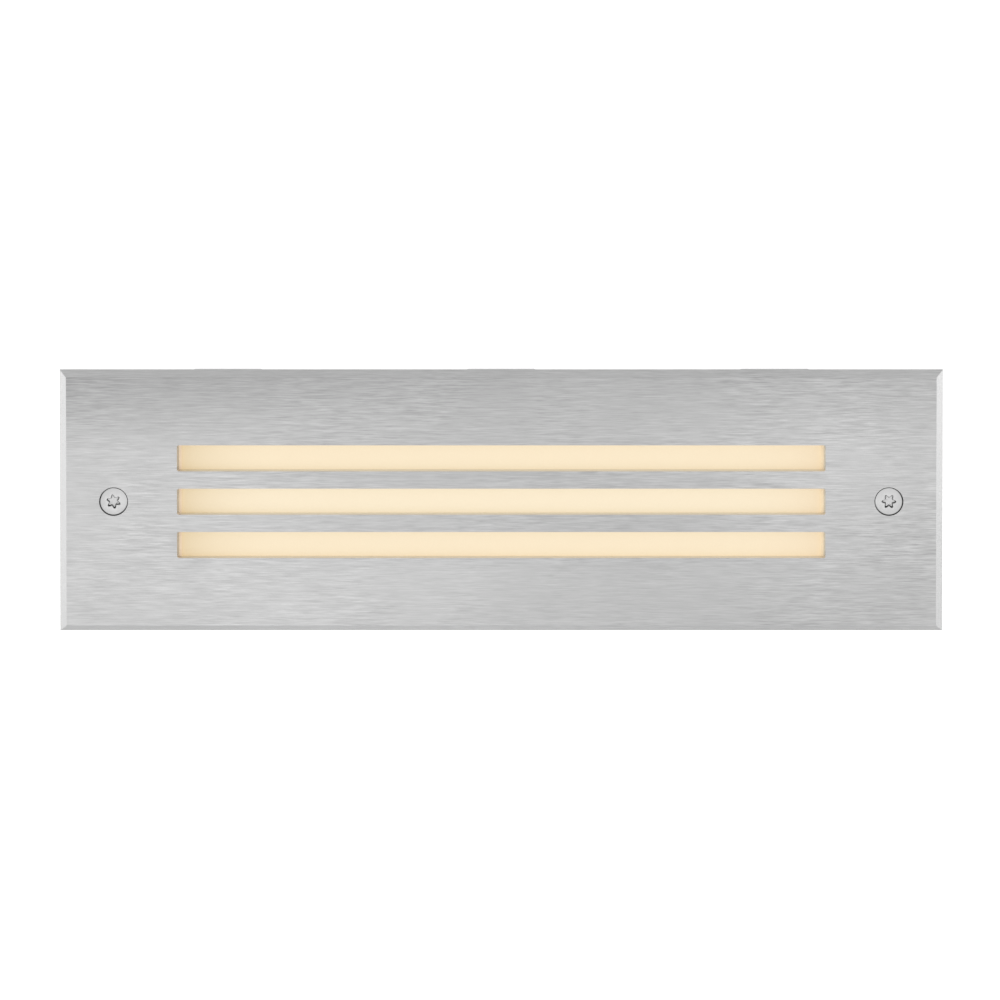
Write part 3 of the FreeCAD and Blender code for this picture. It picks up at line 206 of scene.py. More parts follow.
# Dust that settles on what faces up.
dusting = {"facing": (0.2, 1.0), "patchSize": 140.0, "patchSpread": (0.35, 0.7)}


def makeDust():
    tree, given, result = newGroup("dust", {"Amount": 0.3}, ("Mask",))
    facing = addNode(tree, "SeparateXYZ", {0: addNode(tree, "NewGeometry").outputs["Normal"]})
    upward = rescale(tree, facing.outputs["Z"], *dusting["facing"])
    patches = noiseAt(tree, (dusting["patchSize"],) * 3, detail=6.0, roughness=0.7)
    patchy = rescale(tree, patches, *dusting["patchSpread"])
    tree.links.new(multiply(tree, upward, patchy, given["Amount"]), result["Mask"])
    return tree


brushing = makeBrushing()
patina = makePatina()
grain = makeGrain()
dust = makeDust()


def placeGroup(tree, group, **values):
    node = addNode(tree, "Group", node_tree=group)
    for name, value in values.items():
        node.inputs[name].default_value = value
    return node.outputs


def newFinish(name, **shaderValues):
    material = bpy.data.materials.new(name)
    material.use_nodes = True
    tree = material.node_tree
    shader = tree.nodes["Principled BSDF"]
    for label, value in shaderValues.items():
        shader.inputs[label.replace("_", " ")].default_value = value
    return material, tree, shader.inputs


def roughen(tree, inputs, height, strength, distance):
    bump = addNode(tree, "Bump", {"Strength": strength, "Distance": distance, "Height": height})
    tree.links.new(bump.outputs[0], inputs["Normal"])


black = (0.0, 0.0, 0.0, 1.0)


def shaded(colour, factor):
    return tuple(min(1.0, part * factor) for part in colour) + (1.0,)


def polish(tree, inputs, look, streaks, clouds):
    # roughness and relief of a brushed surface
    swing = brushed["roughSwing"]
    rough = rescale(tree, streaks["Streak"], 0.0, 1.0, look["rough"] + swing, look["rough"] - swing)
    smudged = combine(tree, "ADD", rough, multiply(tree, clouds["Smudge"], look["smudgeRough"]))
    tree.links.new(smudged, inputs["Roughness"])
    roughen(tree, inputs, streaks["Streak"], look["relief"], brushed["reliefDepth"])


# Metals: colour, how far the streaks lighten and darken it, roughness, the streaks' scales and relief.
metals = {
    "plated_steel": dict(colour=(0.66, 0.67, 0.69), contrast=0.10, rough=0.36, across=900.0, along=500.0,
                         relief=0.15),
    "plain_aluminium": dict(colour=(0.76, 0.77, 0.78), contrast=0.08, rough=0.42, across=2600.0, along=30.0,
                            relief=0.15),
    "brass": dict(colour=(0.72, 0.55, 0.25), contrast=0.12, rough=0.28, across=5000.0, along=5000.0,
                  relief=0.10),
    "tinned_copper": dict(colour=(0.72, 0.70, 0.66), contrast=0.10, rough=0.33, across=1500.0, along=1500.0,
                          relief=0.12),
}

# What all of them share: clouds that dull them a little, bright scratches and smudges.
metalWear = {
    "cloudSize": 18.0,
    "cloudShare": 0.35,
    "cloudTone": 0.93,
    "scratchShare": 0.5,
    "scratchTone": 1.15,
    "smudgeRough": 0.06,
}


def makeMetal(name):
    look = {**metalWear, **metals[name]}
    material, tree, inputs = newFinish(name, Metallic=1.0)
    streaks = placeGroup(tree, brushing, Across=look["across"], Along=look["along"])
    clouds = placeGroup(tree, patina, Size=look["cloudSize"])
    dark, light = (shaded(look["colour"], 1 + side * look["contrast"]) for side in (-1, 1))
    base = mixColours(tree, streaks["Streak"], dark, light)
    cloudy = multiply(tree, clouds["Cloud"], look["cloudShare"])
    worn = mixColours(tree, cloudy, base, shaded(look["colour"], look["cloudTone"]))
    scratched = multiply(tree, streaks["Scratch"], look["scratchShare"])
    bright = mixColours(tree, scratched, worn, shaded(look["colour"], look["scratchTone"]))
    tree.links.new(bright, inputs["Base Color"])
    polish(tree, inputs, look, streaks, clouds)
    return material


# The plate: brushed stainless, a little uneven from one corner to the other, with painted shade at its top
# edge, its lower right corner, between its slots and in its countersinks, and a painted highlight on its
# slots' walls.
# Heights and sides on it run from -1 to 1.
plateSteel = {
    "colour": (0.426, 0.426, 0.426),
    "contrast": 0.19,
    "calm": 0.45,  # least share of the contrast, where the brushing is faint
    "calmSize": 45.0,
    "calmSpread": (0.2, 0.9),
    "depthLean": 0.5,  # the contrast grows to the right and, by this share of that, upwards
    "depthSides": (-1.5, 1.5, 0.62, 1.42),  # from the lower left corner to the upper right, and its shares
    "rough": 0.34,
    "smudgeRough": 0.05,
    "across": 4500.0,
    "along": 200.0,
    "relief": 0.12,
    "scratchShare": 0.35,
    "scratchTone": 1.2,
    "topShade": 0.17,  # how much painted shade darkens the top edge
    "topStart": 0.38,
    "topSides": (-1.0, 0.2, 1.8, 0.9),  # from the left edge to past the middle, and the painted shade's shares
    "cornerShade": 0.08,  # painted shade at the lower right corner
    "cornerStart": 0.2,
    "cornerSides": (0.0, 0.6),
    "barShade": 0.065,  # painted shade between the slots
    "barFade": (0.35, 0.55),
    "barSides": (0.4, 0.75),
    "cloudDrift": 0.08,
    "cloudSize": 17.0,
    "frontFace": (0.00001, 0.00012),  # metres behind the front of the plate where its front face ends
    "wallHighlight": (0.69, 0.68, 0.667, 1.0),  # the slots' walls, with a painted highlight
    "wallStart": (0.0002, 0.0003),
    "wallHeight": (0.45, 0.46),
    "wallSides": (0.74, 0.75),
    "sinkReach": (0.0042, 0.004284),  # the countersinks' painted shade, from the axis to its edge
    "sinkShade": (0.05, 0.05, 0.05, 1.0),
}


def screwDistance(tree, parts):
    # how far a point is from the upright plane and from the axis of the nearer face screw
    lo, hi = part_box("right_face_screw")
    outward = combine(tree, "SUBTRACT", absolute(tree, parts["X"]), (lo.x + hi.x) / 2)
    square = combine(tree, "ADD", multiply(tree, outward, outward), multiply(tree, parts["Z"], parts["Z"]))
    return outward, combine(tree, "SQRT", square)


def plateTone(tree, up, side, front, clouds):
    # 1 where the finish is even, less where painted shade darkens it
    look = plateSteel
    # painted shade at the top edge, at the lower right corner and between the slots
    high = multiply(tree, rescale(tree, up, look["topStart"], 1.0, 0.0, look["topShade"]), front,
                    rescale(tree, side, *look["topSides"]))
    corner = multiply(tree, rescale(tree, up, look["cornerStart"], -1.0),
                      rescale(tree, side, *look["cornerSides"], 0.0, look["cornerShade"]))
    bars = multiply(tree, rescale(tree, absolute(tree, up), *look["barFade"], look["barShade"], 0.0),
                    rescale(tree, absolute(tree, side), *look["barSides"], 1.0, 0.0))
    dark = combine(tree, "ADD", high, combine(tree, "ADD", corner, bars))
    half = look["cloudDrift"] / 2
    return combine(tree, "SUBTRACT", rescale(tree, clouds["Cloud"], 0.0, 1.0, 1.0 - half, 1.0 + half), dark)


def streakDepth(tree, up, side, patches):
    look = plateSteel
    least, most = look["contrast"] * look["calm"], look["contrast"]
    depth = rescale(tree, patches["Cloud"], *look["calmSpread"], least, most)
    slant = combine(tree, "ADD", side, multiply(tree, up, look["depthLean"]))
    return multiply(tree, depth, rescale(tree, slant, *look["depthSides"]))


def makePlateSteel(name):
    look = plateSteel
    material, tree, inputs = newFinish(name, Metallic=1.0)
    lo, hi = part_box("faceplate")
    parts = objectParts(tree)
    streaks = placeGroup(tree, brushing, Across=look["across"], Along=look["along"])
    clouds = placeGroup(tree, patina, Size=look["cloudSize"])
    patches = placeGroup(tree, patina, Size=look["calmSize"])
    up = combine(tree, "DIVIDE", parts["Z"], hi.z)
    side = combine(tree, "DIVIDE", parts["X"], hi.x)
    behind = combine(tree, "SUBTRACT", parts["Y"], lo.y)
    front = rescale(tree, behind, *look["frontFace"], 1.0, 0.0)
    swing = multiply(tree, rescale(tree, streaks["Streak"], 0.0, 1.0, -1.0, 1.0),
                     streakDepth(tree, up, side, patches))
    tone = combine(tree, "ADD", swing, plateTone(tree, up, side, front, clouds))
    channels = {number: multiply(tree, tone, part) for number, part in enumerate(look["colour"])}
    steel = addNode(tree, "CombineColor", channels).outputs[0]
    scratched = multiply(tree, streaks["Scratch"], look["scratchShare"])
    bright = mixColours(tree, scratched, steel, shaded(look["colour"], look["scratchTone"]))
    # painted highlight on the slots' walls
    wall = multiply(tree, rescale(tree, absolute(tree, up), *look["wallHeight"], 1.0, 0.0),
                    rescale(tree, behind, *look["wallStart"]),
                    rescale(tree, absolute(tree, side), *look["wallSides"], 1.0, 0.0))
    walled = mixColours(tree, wall, bright, look["wallHighlight"])
    # painted shade in the countersinks round the screw heads
    radius = screwDistance(tree, parts)[1]
    sunk = multiply(tree, rescale(tree, radius, *look["sinkReach"], 1.0, 0.0),
                    rescale(tree, behind, *look["frontFace"]))
    tree.links.new(mixColours(tree, sunk, walled, look["sinkShade"]), inputs["Base Color"])
    polish(tree, inputs, look, streaks, clouds)
    return material


# The face screws: a countersunk head with a six-lobe recess, a plain neck and an M4 thread.
faceScrew = {
    "segments": 72,
    "lobes": 6,
    "lobeReach": 0.00203,  # recess, from the axis to the tip of a lobe
    "hollowReach": 0.00125,
    "lobeSharpness": 1.25,
    "recessDepth": 0.0012,
    "wallFoot": (0.96, 0.84),  # foot of the recess's wall: its depth and reach, as shares of the recess's
    "floorReach": 0.78,
    "rimEase": 0.00013,
    "neckLength": 0.0030,  # plain shank behind the cone
    "neckRadius": 0.00195,
    "rootRadius": 0.00160,
    "pitch": 0.0007,
    "ringsPerTurn": 8,
    "tipLength": 0.0007,
    "tipTaper": 0.6,
    "smoothAngle": 32.0,
    "turns": {"left_face_screw": 40.0, "right_face_screw": -1.0},  # degrees, as they were driven home
}

# The face screws are turned: their fine rings run round each screw's own axis.
turned = {
    "colour": (0.515, 0.515, 0.515),
    "contrast": (0.9, 1.08),
    "rough": 0.31,
    "cloudSize": 160.0,
    "cloudRough": 0.08,
    "rings": 9000.0,
    "relief": 0.12,
    "reliefDepth": 0.00002,
    "paintedShade": (0.03, 0.03, 0.03, 1.0),  # painted shade in the recess's corners and painted shadow under the rim, most on the side turned outward and down
    "paintedShadeTop": (0.2, 0.45),  # shares of the recess's depth where it begins and ends
    "paintedShadeFloor": (0.8, 0.98),
    "paintedShadeLean": (0.6, 0.8),  # which way the painted shade leans on the two screws: outward and down
    "paintedShadeSpread": (-0.7, 0.3),
    "paintedShadeLeast": 0.45,
    # radius where the painted shadow at the head's rim begins and is full
    "rim": (0.00368, 0.00384),
}


def makeTurnedSteel(name):
    look = turned
    material, tree, inputs = newFinish(name, Metallic=1.0)
    parts = objectParts(tree)
    outward, radius = screwDistance(tree, parts)
    wound = multiply(tree, radius, look["rings"])
    noise = addNode(tree, "TexNoise", {"W": wound, "Scale": 1.0, "Detail": 2.0}, noise_dimensions="1D")
    rings = noise.outputs[0]
    clouds = placeGroup(tree, patina, Size=look["cloudSize"])
    dark, light = (shaded(look["colour"], factor) for factor in look["contrast"])
    base = mixColours(tree, rings, dark, light)
    # painted shade in the recess's corners and painted shadow at the head's rim, most on the side turned
    # outward and down
    behind = combine(tree, "SUBTRACT", parts["Y"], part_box("right_face_screw")[0].y)
    depth = combine(tree, "DIVIDE", behind, faceScrew["recessDepth"])
    inside = multiply(tree, rescale(tree, depth, *look["paintedShadeTop"]),
                      rescale(tree, depth, *look["paintedShadeFloor"], 1.0, 0.0))
    leanOut, leanDown = look["paintedShadeLean"]
    towardShade = combine(tree, "SUBTRACT", multiply(tree, outward, leanOut), multiply(tree, parts["Z"], leanDown))
    dustAndShadeMask = rescale(tree, combine(tree, "DIVIDE", towardShade, radius), *look["paintedShadeSpread"])
    recess = multiply(tree, inside, rescale(tree, dustAndShadeMask, 0.0, 1.0, look["paintedShadeLeast"], 1.0))
    rim = multiply(tree, rescale(tree, radius, *look["rim"]), dustAndShadeMask)
    mask = combine(tree, "MAXIMUM", recess, rim)
    tree.links.new(mixColours(tree, mask, base, look["paintedShade"]), inputs["Base Color"])
    rough = combine(tree, "ADD", multiply(tree, clouds["Cloud"], look["cloudRough"]), look["rough"])
    tree.links.new(rough, inputs["Roughness"])
    roughen(tree, inputs, rings, look["relief"], look["reliefDepth"])
    return material


# Mouldings, rubber and paint: colour, roughness, grain in features to a metre, relief and dust.
mouldings = {
    "black_silicone": dict(colour=(0.03, 0.03, 0.03), rough=0.62, size=2600.0, relief=0.25, dust=0.12),
    "natural_nylon": dict(colour=(0.85, 0.84, 0.78), rough=0.42, size=1800.0, relief=0.10, dust=0.05),
    "black_nylon": dict(colour=(0.04, 0.04, 0.04), rough=0.45, size=2200.0, relief=0.30, dust=0.15),
    "white_plastic": dict(colour=(0.92, 0.92, 0.90), rough=0.35, size=1500.0, relief=0.06, dust=0.04),
    "grey_pad": dict(colour=(0.50, 0.52, 0.56), rough=0.75, size=3500.0, relief=0.35, dust=0.05),
    "orange_plastic": dict(colour=(0.85, 0.30, 0.04), rough=0.38, size=2400.0, relief=0.10, dust=0.03),
    "green_screw": dict(colour=(0.05, 0.32, 0.12), rough=0.30, size=1600.0, relief=0.12, dust=0.05),
    "red_lead": dict(colour=(0.55, 0.03, 0.03), rough=0.36, size=1300.0, relief=0.08, dust=0.04),
    "black_lead": dict(colour=(0.03, 0.03, 0.03), rough=0.36, size=1300.0, relief=0.08, dust=0.06),
    "white_lead": dict(colour=(0.85, 0.85, 0.83), rough=0.36, size=1300.0, relief=0.08, dust=0.04),
    "green_lead": dict(colour=(0.04, 0.30, 0.10), rough=0.36, size=1300.0, relief=0.08, dust=0.04),
}

# What all of them share: pale flecks, grey dust and a roughness that drifts.
mouldWear = {
    "contrast": (0.9, 1.06),
    "cloudSize": 60.0,
    "fleckShare": 0.25,
    "fleckTone": 1.35,
    "dustColour": (0.55, 0.53, 0.49, 1.0),
    "dustRough": 0.3,
    "drift": 0.05,
    "driftSize": 35.0,
    "reliefDepth": 0.0001,
}


def mouldSkin(tree, inputs, look, base, raised=0.0):
    skin = placeGroup(tree, grain, Size=look["size"])
    clouds = placeGroup(tree, patina, Size=mouldWear["driftSize"])
    dustAndShadeMask = placeGroup(tree, dust, Amount=look["dust"])
    fleck = multiply(tree, skin["Fleck"], mouldWear["fleckShare"])
    flecked = mixColours(tree, fleck, base, shaded(look["colour"], mouldWear["fleckTone"]))
    dusty = mixColours(tree, dustAndShadeMask["Mask"], flecked, mouldWear["dustColour"])
    tree.links.new(dusty, inputs["Base Color"])
    drift = mouldWear["drift"]
    rough = rescale(tree, clouds["Cloud"], 0.0, 1.0, look["rough"] - drift, look["rough"] + drift)
    rougher = combine(tree, "ADD", rough, multiply(tree, dustAndShadeMask["Mask"], mouldWear["dustRough"]))
    tree.links.new(rougher, inputs["Roughness"])
    height = combine(tree, "ADD", skin["Height"], raised)
    roughen(tree, inputs, height, look["relief"], mouldWear["reliefDepth"])


def makeMoulding(name):
    look = mouldings[name]
    material, tree, inputs = newFinish(name)
    clouds = placeGroup(tree, patina, Size=mouldWear["cloudSize"])
    dark, light = (shaded(look["colour"], factor) for factor in mouldWear["contrast"])
    mouldSkin(tree, inputs, look, mixColours(tree, clouds["Cloud"], dark, light))
    return material


# The box: a grey powder coat, mottled like orange peel, over a casting with the die's slow waviness.
coating = {
    "colour": (0.20, 0.205, 0.21),
    "metallic": 0.15,
    "rough": 0.38,
    "size": 800.0,
    "relief": 1.0,
    "dust": 0.10,
    "wave": 45.0,
    "waveShare": 0.3,
    "peelShare": 0.7,
    "peelSpread": (0.35, 0.65),
    "mottle": 0.16,
}


def makeCoatedAluminium(name):
    look = coating
    material, tree, inputs = newFinish(name, Metallic=look["metallic"])
    wave = noiseAt(tree, (look["wave"],) * 3, detail=2.0)
    peel = placeGroup(tree, grain, Size=look["size"])["Height"]
    mottle = combine(tree, "ADD", multiply(tree, wave, look["waveShare"]),
                     rescale(tree, peel, *look["peelSpread"], 0.0, look["peelShare"]))
    dark, light = (shaded(look["colour"], 1 + side * look["mottle"]) for side in (-1, 1))
    mouldSkin(tree, inputs, look, mixColours(tree, mottle, dark, light))
    return material


# The driver: a potted case with the seam of its lid near the front.
driverCase = {
    "colour": (0.05, 0.05, 0.055),
    "rough": 0.42,
    "size": 2300.0,
    "relief": 0.3,
    "dust": 0.15,
    "seamDepth": 0.002,
    "seamWidth": 0.00025,
    "seamTone": 0.25,
}


def makeBlackPlastic(name):
    look = driverCase
    material, tree, inputs = newFinish(name)
    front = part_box("led_driver")[0].y
    away = absolute(tree, combine(tree, "SUBTRACT", objectParts(tree)["Y"], front + look["seamDepth"]))
    seam = rescale(tree, away, look["seamWidth"] / 2, look["seamWidth"], 1.0, 0.0)
    base = mixColours(tree, seam, shaded(look["colour"], 1.0), shaded(look["colour"], look["seamTone"]))
    mouldSkin(tree, inputs, look, base)
    return material


# The LED board: a white mask over copper, which shows as darker, raised tracks: two rails and their links.
board = {
    "colour": (0.93, 0.93, 0.91),
    "trackColour": (0.80, 0.80, 0.76, 1.0),
    "rough": 0.32,
    "size": 2600.0,
    "relief": 0.06,
    "dust": 0.03,
    "railPlace": 0.0068,
    "railWidth": (0.0011, 0.001265),  # half, to the top and the foot of its edge
    "linkPitch": 0.0139,
    "linkWidth": (0.0009, 0.00105),
    "linkReach": (0.0068, 0.006868),
    "trackRise": 5.0,
}


def makeBoardWhite(name):
    look = board
    material, tree, inputs = newFinish(name)
    parts = objectParts(tree)
    up = absolute(tree, parts["Z"])
    away = absolute(tree, combine(tree, "SUBTRACT", up, look["railPlace"]))
    rails = rescale(tree, away, *look["railWidth"], 1.0, 0.0)
    step = combine(tree, "PINGPONG", parts["X"], look["linkPitch"] / 2)
    links = multiply(tree, rescale(tree, step, *look["linkWidth"], 1.0, 0.0),
                     rescale(tree, up, *look["linkReach"], 1.0, 0.0))
    copper = combine(tree, "MAXIMUM", rails, links)
    base = mixColours(tree, copper, shaded(look["colour"], 1.0), look["trackColour"])
    mouldSkin(tree, inputs, look, base, multiply(tree, copper, look["trackRise"]))
    return material


# LEDs: a white package with its phosphor window proud of it, lit.
led = {
    "package": (0.9, 0.9, 0.87, 1.0),
    "phosphor": (0.95, 0.75, 0.25),
    "contrast": (0.85, 1.0),
    "light": (1.0, 0.78, 0.48, 1.0),
    "strength": 1.6,
    "window": (0.00005, 0.00015),  # metres behind the front of the LEDs where the window ends
    "size": 5000.0,
    "rough": (0.3, 0.5),
    "relief": 0.2,
    "reliefDepth": 0.00005,
}


def makeLedPhosphor(name):
    look = led
    material, tree, inputs = newFinish(name, Emission_Strength=look["strength"])
    behind = combine(tree, "SUBTRACT", objectParts(tree)["Y"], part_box("leds")[0].y)
    window = rescale(tree, behind, *look["window"], 1.0, 0.0)
    skin = placeGroup(tree, grain, Size=look["size"])["Height"]
    dark, light = (shaded(look["phosphor"], factor) for factor in look["contrast"])
    powder = mixColours(tree, skin, dark, light)
    tree.links.new(mixColours(tree, window, look["package"], powder), inputs["Base Color"])
    tree.links.new(mixColours(tree, window, black, look["light"]), inputs["Emission Color"])
    rough = rescale(tree, skin, *graining["heightSpread"], *look["rough"])
    tree.links.new(rough, inputs["Roughness"])
    roughen(tree, inputs, skin, look["relief"], look["reliefDepth"])
    return material


# The lens: etched glass with a warm painted glow standing in for the light behind it, a little dimmer and
# deeper in colour at its ends.
lens = {
    "skin": (0.36, 0.34, 0.30),
    "contrast": (0.9, 1.1),
    "middleLight": (0.605, 0.482, 0.298, 1.0),
    "rowLight": (0.61, 0.502, 0.328, 1.0),  # in line with the LEDs
    "rowReach": (0.002, 0.011),
    "leftLight": (0.48, 0.352, 0.168, 1.0),
    "rightLight": (0.575, 0.435, 0.255, 1.0),
    "fade": (0.063, 0.0925),  # metres from the middle where the ends' light begins and is full
    "fadeCurve": 2.2,
    "cloudSize": 26.0,
    "cloudShare": 0.06,
    "etch": 4200.0,
    "rough": (0.5, 0.65),
    "relief": 0.15,
    "reliefDepth": 0.00005,
}

sideBlend = 0.01  # metres to each side of the middle where left light turns into right light


def sideMask(tree, parts):
    return rescale(tree, parts["X"], -sideBlend, sideBlend)


def makeFrostedGlass(name):
    look = lens
    material, tree, inputs = newFinish(name, Emission_Strength=1.0)
    parts = objectParts(tree)
    outward = rescale(tree, absolute(tree, parts["X"]), *look["fade"])
    fade = combine(tree, "POWER", outward, look["fadeCurve"])
    row = rescale(tree, absolute(tree, parts["Z"]), *look["rowReach"], 1.0, 0.0)
    light = mixColours(tree, row, look["middleLight"], look["rowLight"])
    ends = mixColours(tree, sideMask(tree, parts), look["leftLight"], look["rightLight"])
    clouds = placeGroup(tree, patina, Size=look["cloudSize"])
    cloudShare = multiply(tree, clouds["Cloud"], look["cloudShare"])
    cloudy = mixColours(tree, cloudShare, light, look["rightLight"])
    tree.links.new(mixColours(tree, fade, cloudy, ends), inputs["Emission Color"])
    skin = placeGroup(tree, grain, Size=look["etch"])["Height"]
    dark, pale = (shaded(look["skin"], factor) for factor in look["contrast"])
    tree.links.new(mixColours(tree, skin, dark, pale), inputs["Base Color"])
    rough = rescale(tree, skin, *graining["heightSpread"], *look["rough"])
    tree.links.new(rough, inputs["Roughness"])
    roughen(tree, inputs, skin, look["relief"], look["reliefDepth"])
    return material


# The lens gasket: milky rubber with a painted glow where it lies against the lens.
milky = {
    "colour": (0.78, 0.70, 0.55),
    "contrast": (0.94, 1.04),
    "cloudSize": 80.0,
    "leftLight": (0.18, 0.062, 0.0, 1.0),
    "rightLight": (0.31, 0.185, 0.06, 1.0),
    "glowReach": (0.0915, 0.0955),  # metres from the middle over which the glow fades to its least share
    "glowLeast": 0.25,
    "leftEdge": (-0.09255, -0.09285),  # where the glow ends
    "rightEdge": (0.0926, 0.0930),
    "creaseShade": (0.62, 0.51, 0.36, 1.0),  # painted shade in the crease at the left
    "rough": 0.5,
    "size": 1700.0,
    "relief": 0.12,
    "dust": 0.02,
}


def makeWhiteSilicone(name):
    look = milky
    material, tree, inputs = newFinish(name, Emission_Strength=1.0)
    parts = objectParts(tree)
    leftEdge, rightEdge = (rescale(tree, parts["X"], *look[key]) for key in ("leftEdge", "rightEdge"))
    clouds = placeGroup(tree, patina, Size=look["cloudSize"])
    dark, light = (shaded(look["colour"], factor) for factor in look["contrast"])
    base = mixColours(tree, clouds["Cloud"], dark, light)
    # painted shade in the crease at the gasket's left end
    mouldSkin(tree, inputs, look, mixColours(tree, leftEdge, base, look["creaseShade"]))
    # painted glow, warmer at the right
    glow = mixColours(tree, sideMask(tree, parts), look["leftLight"], look["rightLight"])
    ended = mixColours(tree, combine(tree, "MAXIMUM", leftEdge, rightEdge), glow, black)
    share = rescale(tree, absolute(tree, parts["X"]), *look["glowReach"], 1.0, look["glowLeast"])
    tree.links.new(mixColours(tree, share, black, ended), inputs["Emission Color"])
    return material


makers = {
    "brushed_stainless": makePlateSteel,
    "screw_stainless": makeTurnedSteel,
    "coated_aluminium": makeCoatedAluminium,
    "black_plastic": makeBlackPlastic,
    "board_white": makeBoardWhite,
    "led_phosphor": makeLedPhosphor,
    "frosted_glass": makeFrostedGlass,
    "white_silicone": makeWhiteSilicone,
}
makers.update({name: makeMetal for name in metals})
makers.update({name: makeMoulding for name in mouldings})
finishes = {name: make(name) for name, make in makers.items()}


def dressNodes():
    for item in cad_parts.values():
        name = item.material_slots[0].material.name.split(".")[0]
        item.material_slots[0].material = finishes[name]


dressNodes()
print("finishes made:", len(finishes))


def keepPiece(name, shape, body, slotName, *stoodFor):
    mesh = bpy.data.meshes.new(name)
    shape.to_mesh(mesh)
    shape.free()
    mesh.materials.append(finishes[slotName])
    item = bpy.data.objects.new(name, mesh)
    scene.collection.objects.link(item)
    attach(item, body)
    if stoodFor:
        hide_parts(*stoodFor)
    return item


def smoothBelow(shape, degrees):
    # faces shade smoothly, apart from edges sharper than this
    for face in shape.faces:
        face.smooth = True
    for edge in shape.edges:
        edge.smooth = len(edge.link_faces) == 2 and edge.calc_face_angle(0.0) < math.radians(degrees)


def lobedReach(angle, lobe, hollow):
    rise = (1 + math.cos(faceScrew["lobes"] * angle)) / 2
    return hollow + (lobe - hollow) * rise ** faceScrew["lobeSharpness"]


def threadReach(angle, along, start, end):
    # a V thread that fades in behind the neck and out at the tip
    turn = (along / faceScrew["pitch"] - angle / (2 * math.pi)) % 1.0
    depth = (faceScrew["neckRadius"] - faceScrew["rootRadius"]) * abs(2 * turn - 1)
    fade = min(1.0, (along - start) / faceScrew["pitch"], (end - along) / faceScrew["pitch"])
    tip = max(0.0, along - (end - faceScrew["tipLength"])) * faceScrew["tipTaper"]
    return faceScrew["neckRadius"] - depth * max(0.0, fade) - tip


def screwRings(length, headRadius):
    # from the floor of the recess, over the head and down to the tip: depth and a reach for each angle
    lobe, hollow, deep = faceScrew["lobeReach"], faceScrew["hollowReach"], faceScrew["recessDepth"]
    ease, neck = faceScrew["rimEase"], faceScrew["neckRadius"]
    footDepth, footReach = faceScrew["wallFoot"]
    cone = headRadius - neck
    start, end = cone + faceScrew["neckLength"], length
    rings = [(deep, lambda a: lobedReach(a, lobe, hollow) * faceScrew["floorReach"]),
             (deep * footDepth, lambda a: lobedReach(a, lobe, hollow) * footReach),
             (ease, lambda a: lobedReach(a, lobe, hollow)),
             (0.0, lambda a: lobedReach(a, lobe + ease, hollow + ease)),
             (0.0, lambda a: headRadius - 2 * ease),
             (ease / 2, lambda a: headRadius - ease / 2),
             (ease * 1.5, lambda a: headRadius - ease / 4),
             (cone, lambda a: neck),
             (start, lambda a: neck)]
    step = faceScrew["pitch"] / faceScrew["ringsPerTurn"]
    for number in range(1, int((end - start) / step)):
        along = start + number * step
        rings.append((along, lambda a, along=along: threadReach(a, along, start, end)))
    rings.append((end, lambda a: threadReach(a, end, start, end)))
    return rings


def angleOf(vert, middle):
    return math.atan2(vert.co.z - middle.z, vert.co.x - middle.x)


def makeFaceScrew(node, body):
    lo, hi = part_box(node)
    middle = Vector(((lo.x + hi.x) / 2, lo.y, (lo.z + hi.z) / 2))
    turn = math.radians(faceScrew["turns"][node])
    shape = bmesh.new()
    made = bmesh.ops.create_circle(shape, cap_ends=True, segments=faceScrew["segments"], radius=1.0)
    angles = {vert: math.atan2(vert.co.y, vert.co.x) for vert in made["verts"]}
    edges = list(shape.edges)
    for number, (along, reach) in enumerate(screwRings(hi.y - lo.y, (hi.x - lo.x) / 2)):
        if number:
            grown = bmesh.ops.extrude_edge_only(shape, edges=edges)["geom"]
            edges = [part for part in grown if isinstance(part, bmesh.types.BMEdge)]
            verts = [part for part in grown if isinstance(part, bmesh.types.BMVert)]
            angles = {vert: angleOf(vert, middle) - turn for vert in verts}
        for vert, angle in angles.items():
            far = reach(angle)
            vert.co = middle + Vector((far * math.cos(angle + turn), along, far * math.sin(angle + turn)))
    bmesh.ops.edgeloop_fill(shape, edges=edges)
    bmesh.ops.recalc_face_normals(shape, faces=shape.faces)
    smoothBelow(shape, faceScrew["smoothAngle"])
    return keepPiece(node + "_threaded", shape, body, "screw_stainless", node)


makeFaceScrew("left_face_screw", "left_screw")
makeFaceScrew("right_face_screw", "right_screw")
print("face screws made")

# The open conduit entry is threaded: a low helical ridge inside its hub.
entryThread = {
    "boreWidth": 19.0,  # mm, inside the thread and across the other entry's seal
    "sealWidth": 23.0,
    "hubLength": 0.0120,
    "pitch": 0.0018,
    "halfWidth": 0.42,  # of the ridge at its foot, as a share of the pitch
    "height": 0.0005,
    "sink": 0.0001,  # into the hub's wall
    "steps": 36,  # to a turn
    "clear": 0.0006,
}


